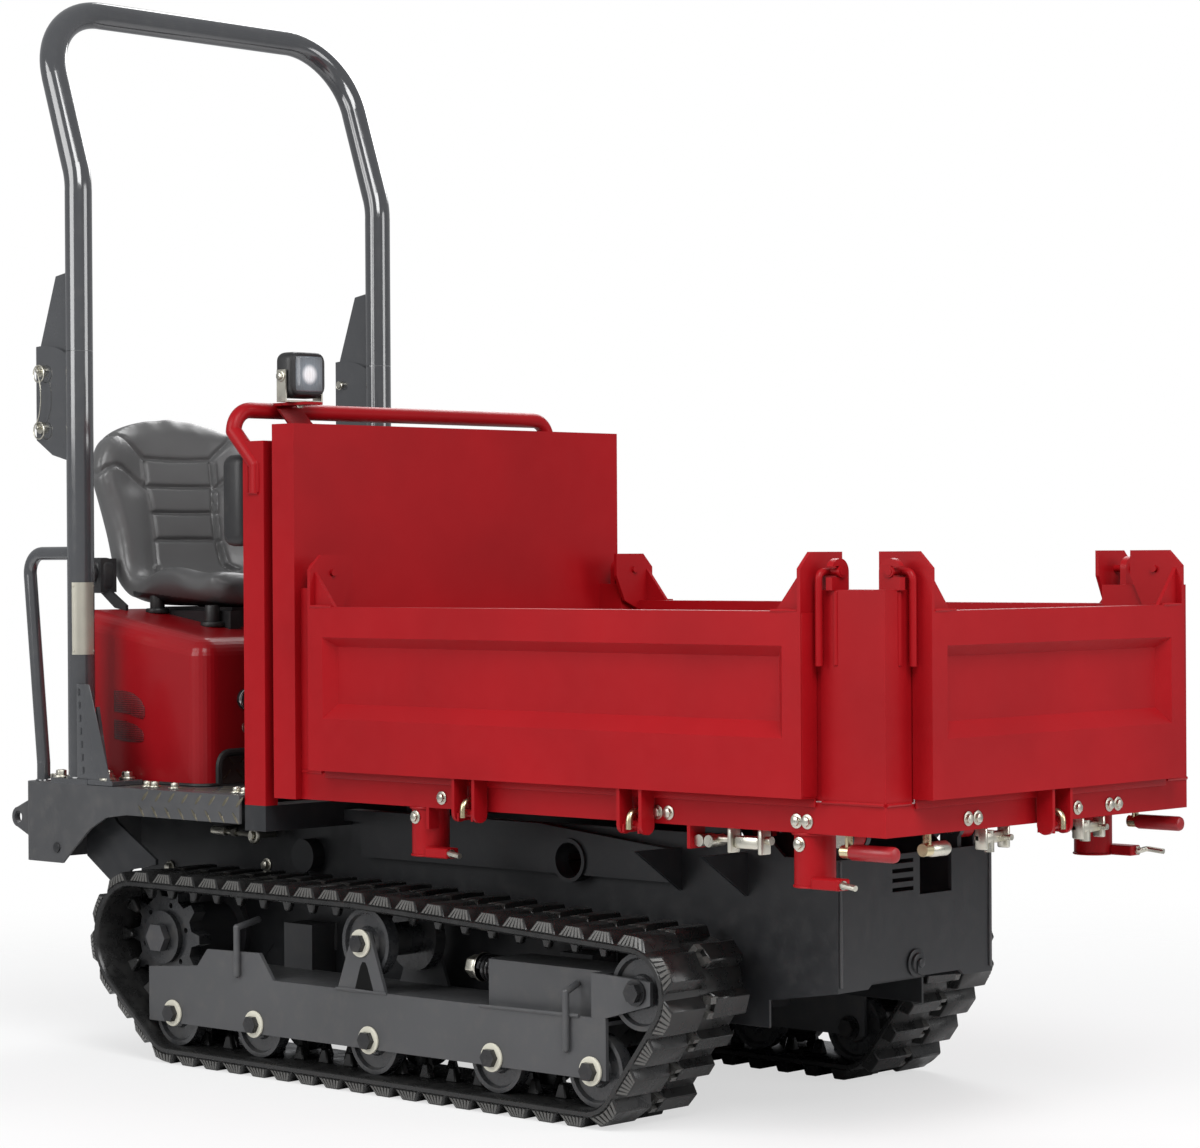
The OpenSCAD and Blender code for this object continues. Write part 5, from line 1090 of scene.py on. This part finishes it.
settle(joined(pins, "stake_pins"), zinc, "bed")

# Headboard and boards: weld seams along the folds, end plates that close the pressings and a folded lip
# along each board's foot, under the same paint.
board_plane, tail_plane = 475, 2303


def on_board(board, along, out, z):
    # A place given along a board, outwards from its plane and up
    if board == "tail":
        return at(tail_plane + out, along, z)
    return at(along, (board_plane + out) * (-1 if board == "right" else 1), z)



for body, lines in (
    ("bed", [((693, -486, 600), (693, -486, 1360)), ((693, 486, 600), (693, 486, 1360)),
             ((759.8, -440, 648), (759.8, 440, 648))]),
    ("right_side_board", [((840, -519, 989), (902, -519, 989)), ((2077, -519, 989), (2139, -519, 989))]),
    ("left_side_board", [((840, 519, 989), (902, 519, 989)), ((2077, 519, 989), (2139, 519, 989))]),
    ("tailgate", [((2347, -390, 989), (2347, -328, 989)), ((2347, 328, 989), (2347, 390, 989))]),
):
    seams = [weld(at(*a), at(*b), 0.0028) for a, b in lines]
    settle(joined(seams, body + "_seams"), red_paint, body)

board_ends = {"right": (832, 2149), "left": (832, 2149), "tail": (-398, 398)}
for board, body in (("right", "right_side_board"), ("left", "left_side_board"), ("tail", "tailgate")):
    low, high = board_ends[board]
    folds = [span_block(on_board(board, low + 4, 1, 636), on_board(board, high - 4, 4.5, 655), 0.0008)]
    for a, b in ((low + 0.5, low + 2.5), (high - 2.5, high - 0.5)):
        folds.append(span_block(on_board(board, a, 1.5, 656), on_board(board, b, 43, 985), 0.0006))
    settle(joined(folds, board + "_board_folds"), red_paint, body)

# Hook bars: bent rod with yellow zinc, each with a sleeved release grip. The latch rods above them are
# bent the same way and painted with the bed. Both are drawn anew with round bends.
gold_zinc = finish("gold_zinc", (0.66, 0.57, 0.36), 0.2, 0.36, 700, 0.05, 0.12, (0.35, 0.3, 0.2), 1.0)
red_vinyl = finish("red_vinyl", (0.3, 0.008, 0.012), 0.3, 0.45, 900, 0.06, 0.06)
side_bar = (1102, 2214, (1279, 1723), 2194, 110)
bar_out, bar_z, grip_z = -26, 606, 557
for board, (start, end, hooks, lever, grip) in (("right", side_bar), ("left", side_bar),
                                                ("tail", (-334, 222, (0,), -328, 60))):
    bar = [tube([on_board(board, x, bar_out, bar_z) for x in (start, end)], 0.008, 4)]
    for h in hooks:
        bend = [on_board(board, h, out, z) for out, z in ((bar_out, 610), (39, 610), (39, 577))]
        bar.append(tube(rounded_path(bend, 0.020, 8), 0.0065, 4))
    bar.append(span_block(on_board(board, lever, -34, 550), on_board(board, lever + 8, -18, 612), 0.003))
    bar.append(tube([on_board(board, x, bar_out, grip_z) for x in (lever - 10, lever + grip)], 0.012, 5))
    name = board + "_hook_bar"
    settle(joined(bar, board + "_bent_hooks"), gold_zinc, name)
    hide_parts(name)
    radius, sleeve_paint, slot = 0.0145, red_vinyl, "red_paint"
    if board == "tail":
        radius, sleeve_paint, slot = 0.0138, zinc, "zinc_steel"
    sleeve = rod_shape(radius, (grip - 6) / 1000, 28, 0.006)
    ahead = on_board(board, 1, 0, 0) - on_board(board, 0, 0, 0)
    sleeve.matrix_world = facing(on_board(board, lever + 8, bar_out, grip_z), ahead)
    settle(sleeve, sleeve_paint, name)
    sleeve.name = board + "_grip"
latch_out, latch_z = -17, 1058
for board, node in (("right", "right_board_latches"), ("left", "left_board_latches"),
                    ("tail", "tailgate_latches")):
    low, high = board_ends[board]
    rods = []
    for end, way in ((high, 1), (low, -1)):
        pin = [on_board(board, end + step * way, latch_out, latch_z) for step in (-14, 46)]
        rods.append(tube(pin, 0.007, 4))
        handle = [on_board(board, end + 14 * way, out, z)
                  for out, z in ((latch_out, latch_z), (13, latch_z), (13, 890))]
        rods.append(tube(rounded_path(handle, 0.016, 8), 0.0072, 4))
        rods.append(tube([pin[1].lerp(pin[0], share) for share in (0.02, 0.1)], 0.0105, 4))
    settle(joined(rods, board + "_latch_rods"), red_paint, node)
    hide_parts(node)

# Toggle links below the sills: plated clevises with cross pins that carry the release rods.
# They hang from the bed frame and tip with it.
toggles = []
for side in (-1, 1):
    toggles.append(tube([at(1848, side * 440, 562), at(2010, side * 440, 566)], 0.008, 4))
    for x in (1852, 1876):
        toggles.append(tube([at(x, side * y, 560) for y in (424, 464)], 0.0115, 4))
    for x in (1916, 1990):
        toggles.append(span_block(at(x, side * 430, 540), at(x + 10, side * 458, 587.5), 0.003))
    toggles.append(span_block(at(1926, side * 432, 548), at(1986, side * 452, 572), 0.006))
for y in (-125, 180):
    toggles.append(span_block(at(2262, y - 44, 556), at(2282, y + 34, 578), 0.007))
    for step in (-44, 24):
        toggles.append(span_block(at(2266, y + step, 546), at(2292, y + step + 8, 587.5), 0.003))
    toggles.append(tube([at(2272, y - 8, z) for z in (540, 580)], 0.010, 4))
    toggles.append(tube([at(x, y + 28, 566) for x in (2256, 2298)], 0.006, 4))
settle(joined(toggles, "toggle_links"), zinc, "bed")

# Dump ram: a hard-chromed rod that slides in the barrel, which got its satin black paint with the levers.
# Both keep their CAD form and follow the bed.
chrome_rod = finish("chrome_rod", (0.7, 0.7, 0.7), 0.08, 0.16, 900, 0.01, 0.03, metal=1.0)
dress(chrome_rod, "dump_rod")
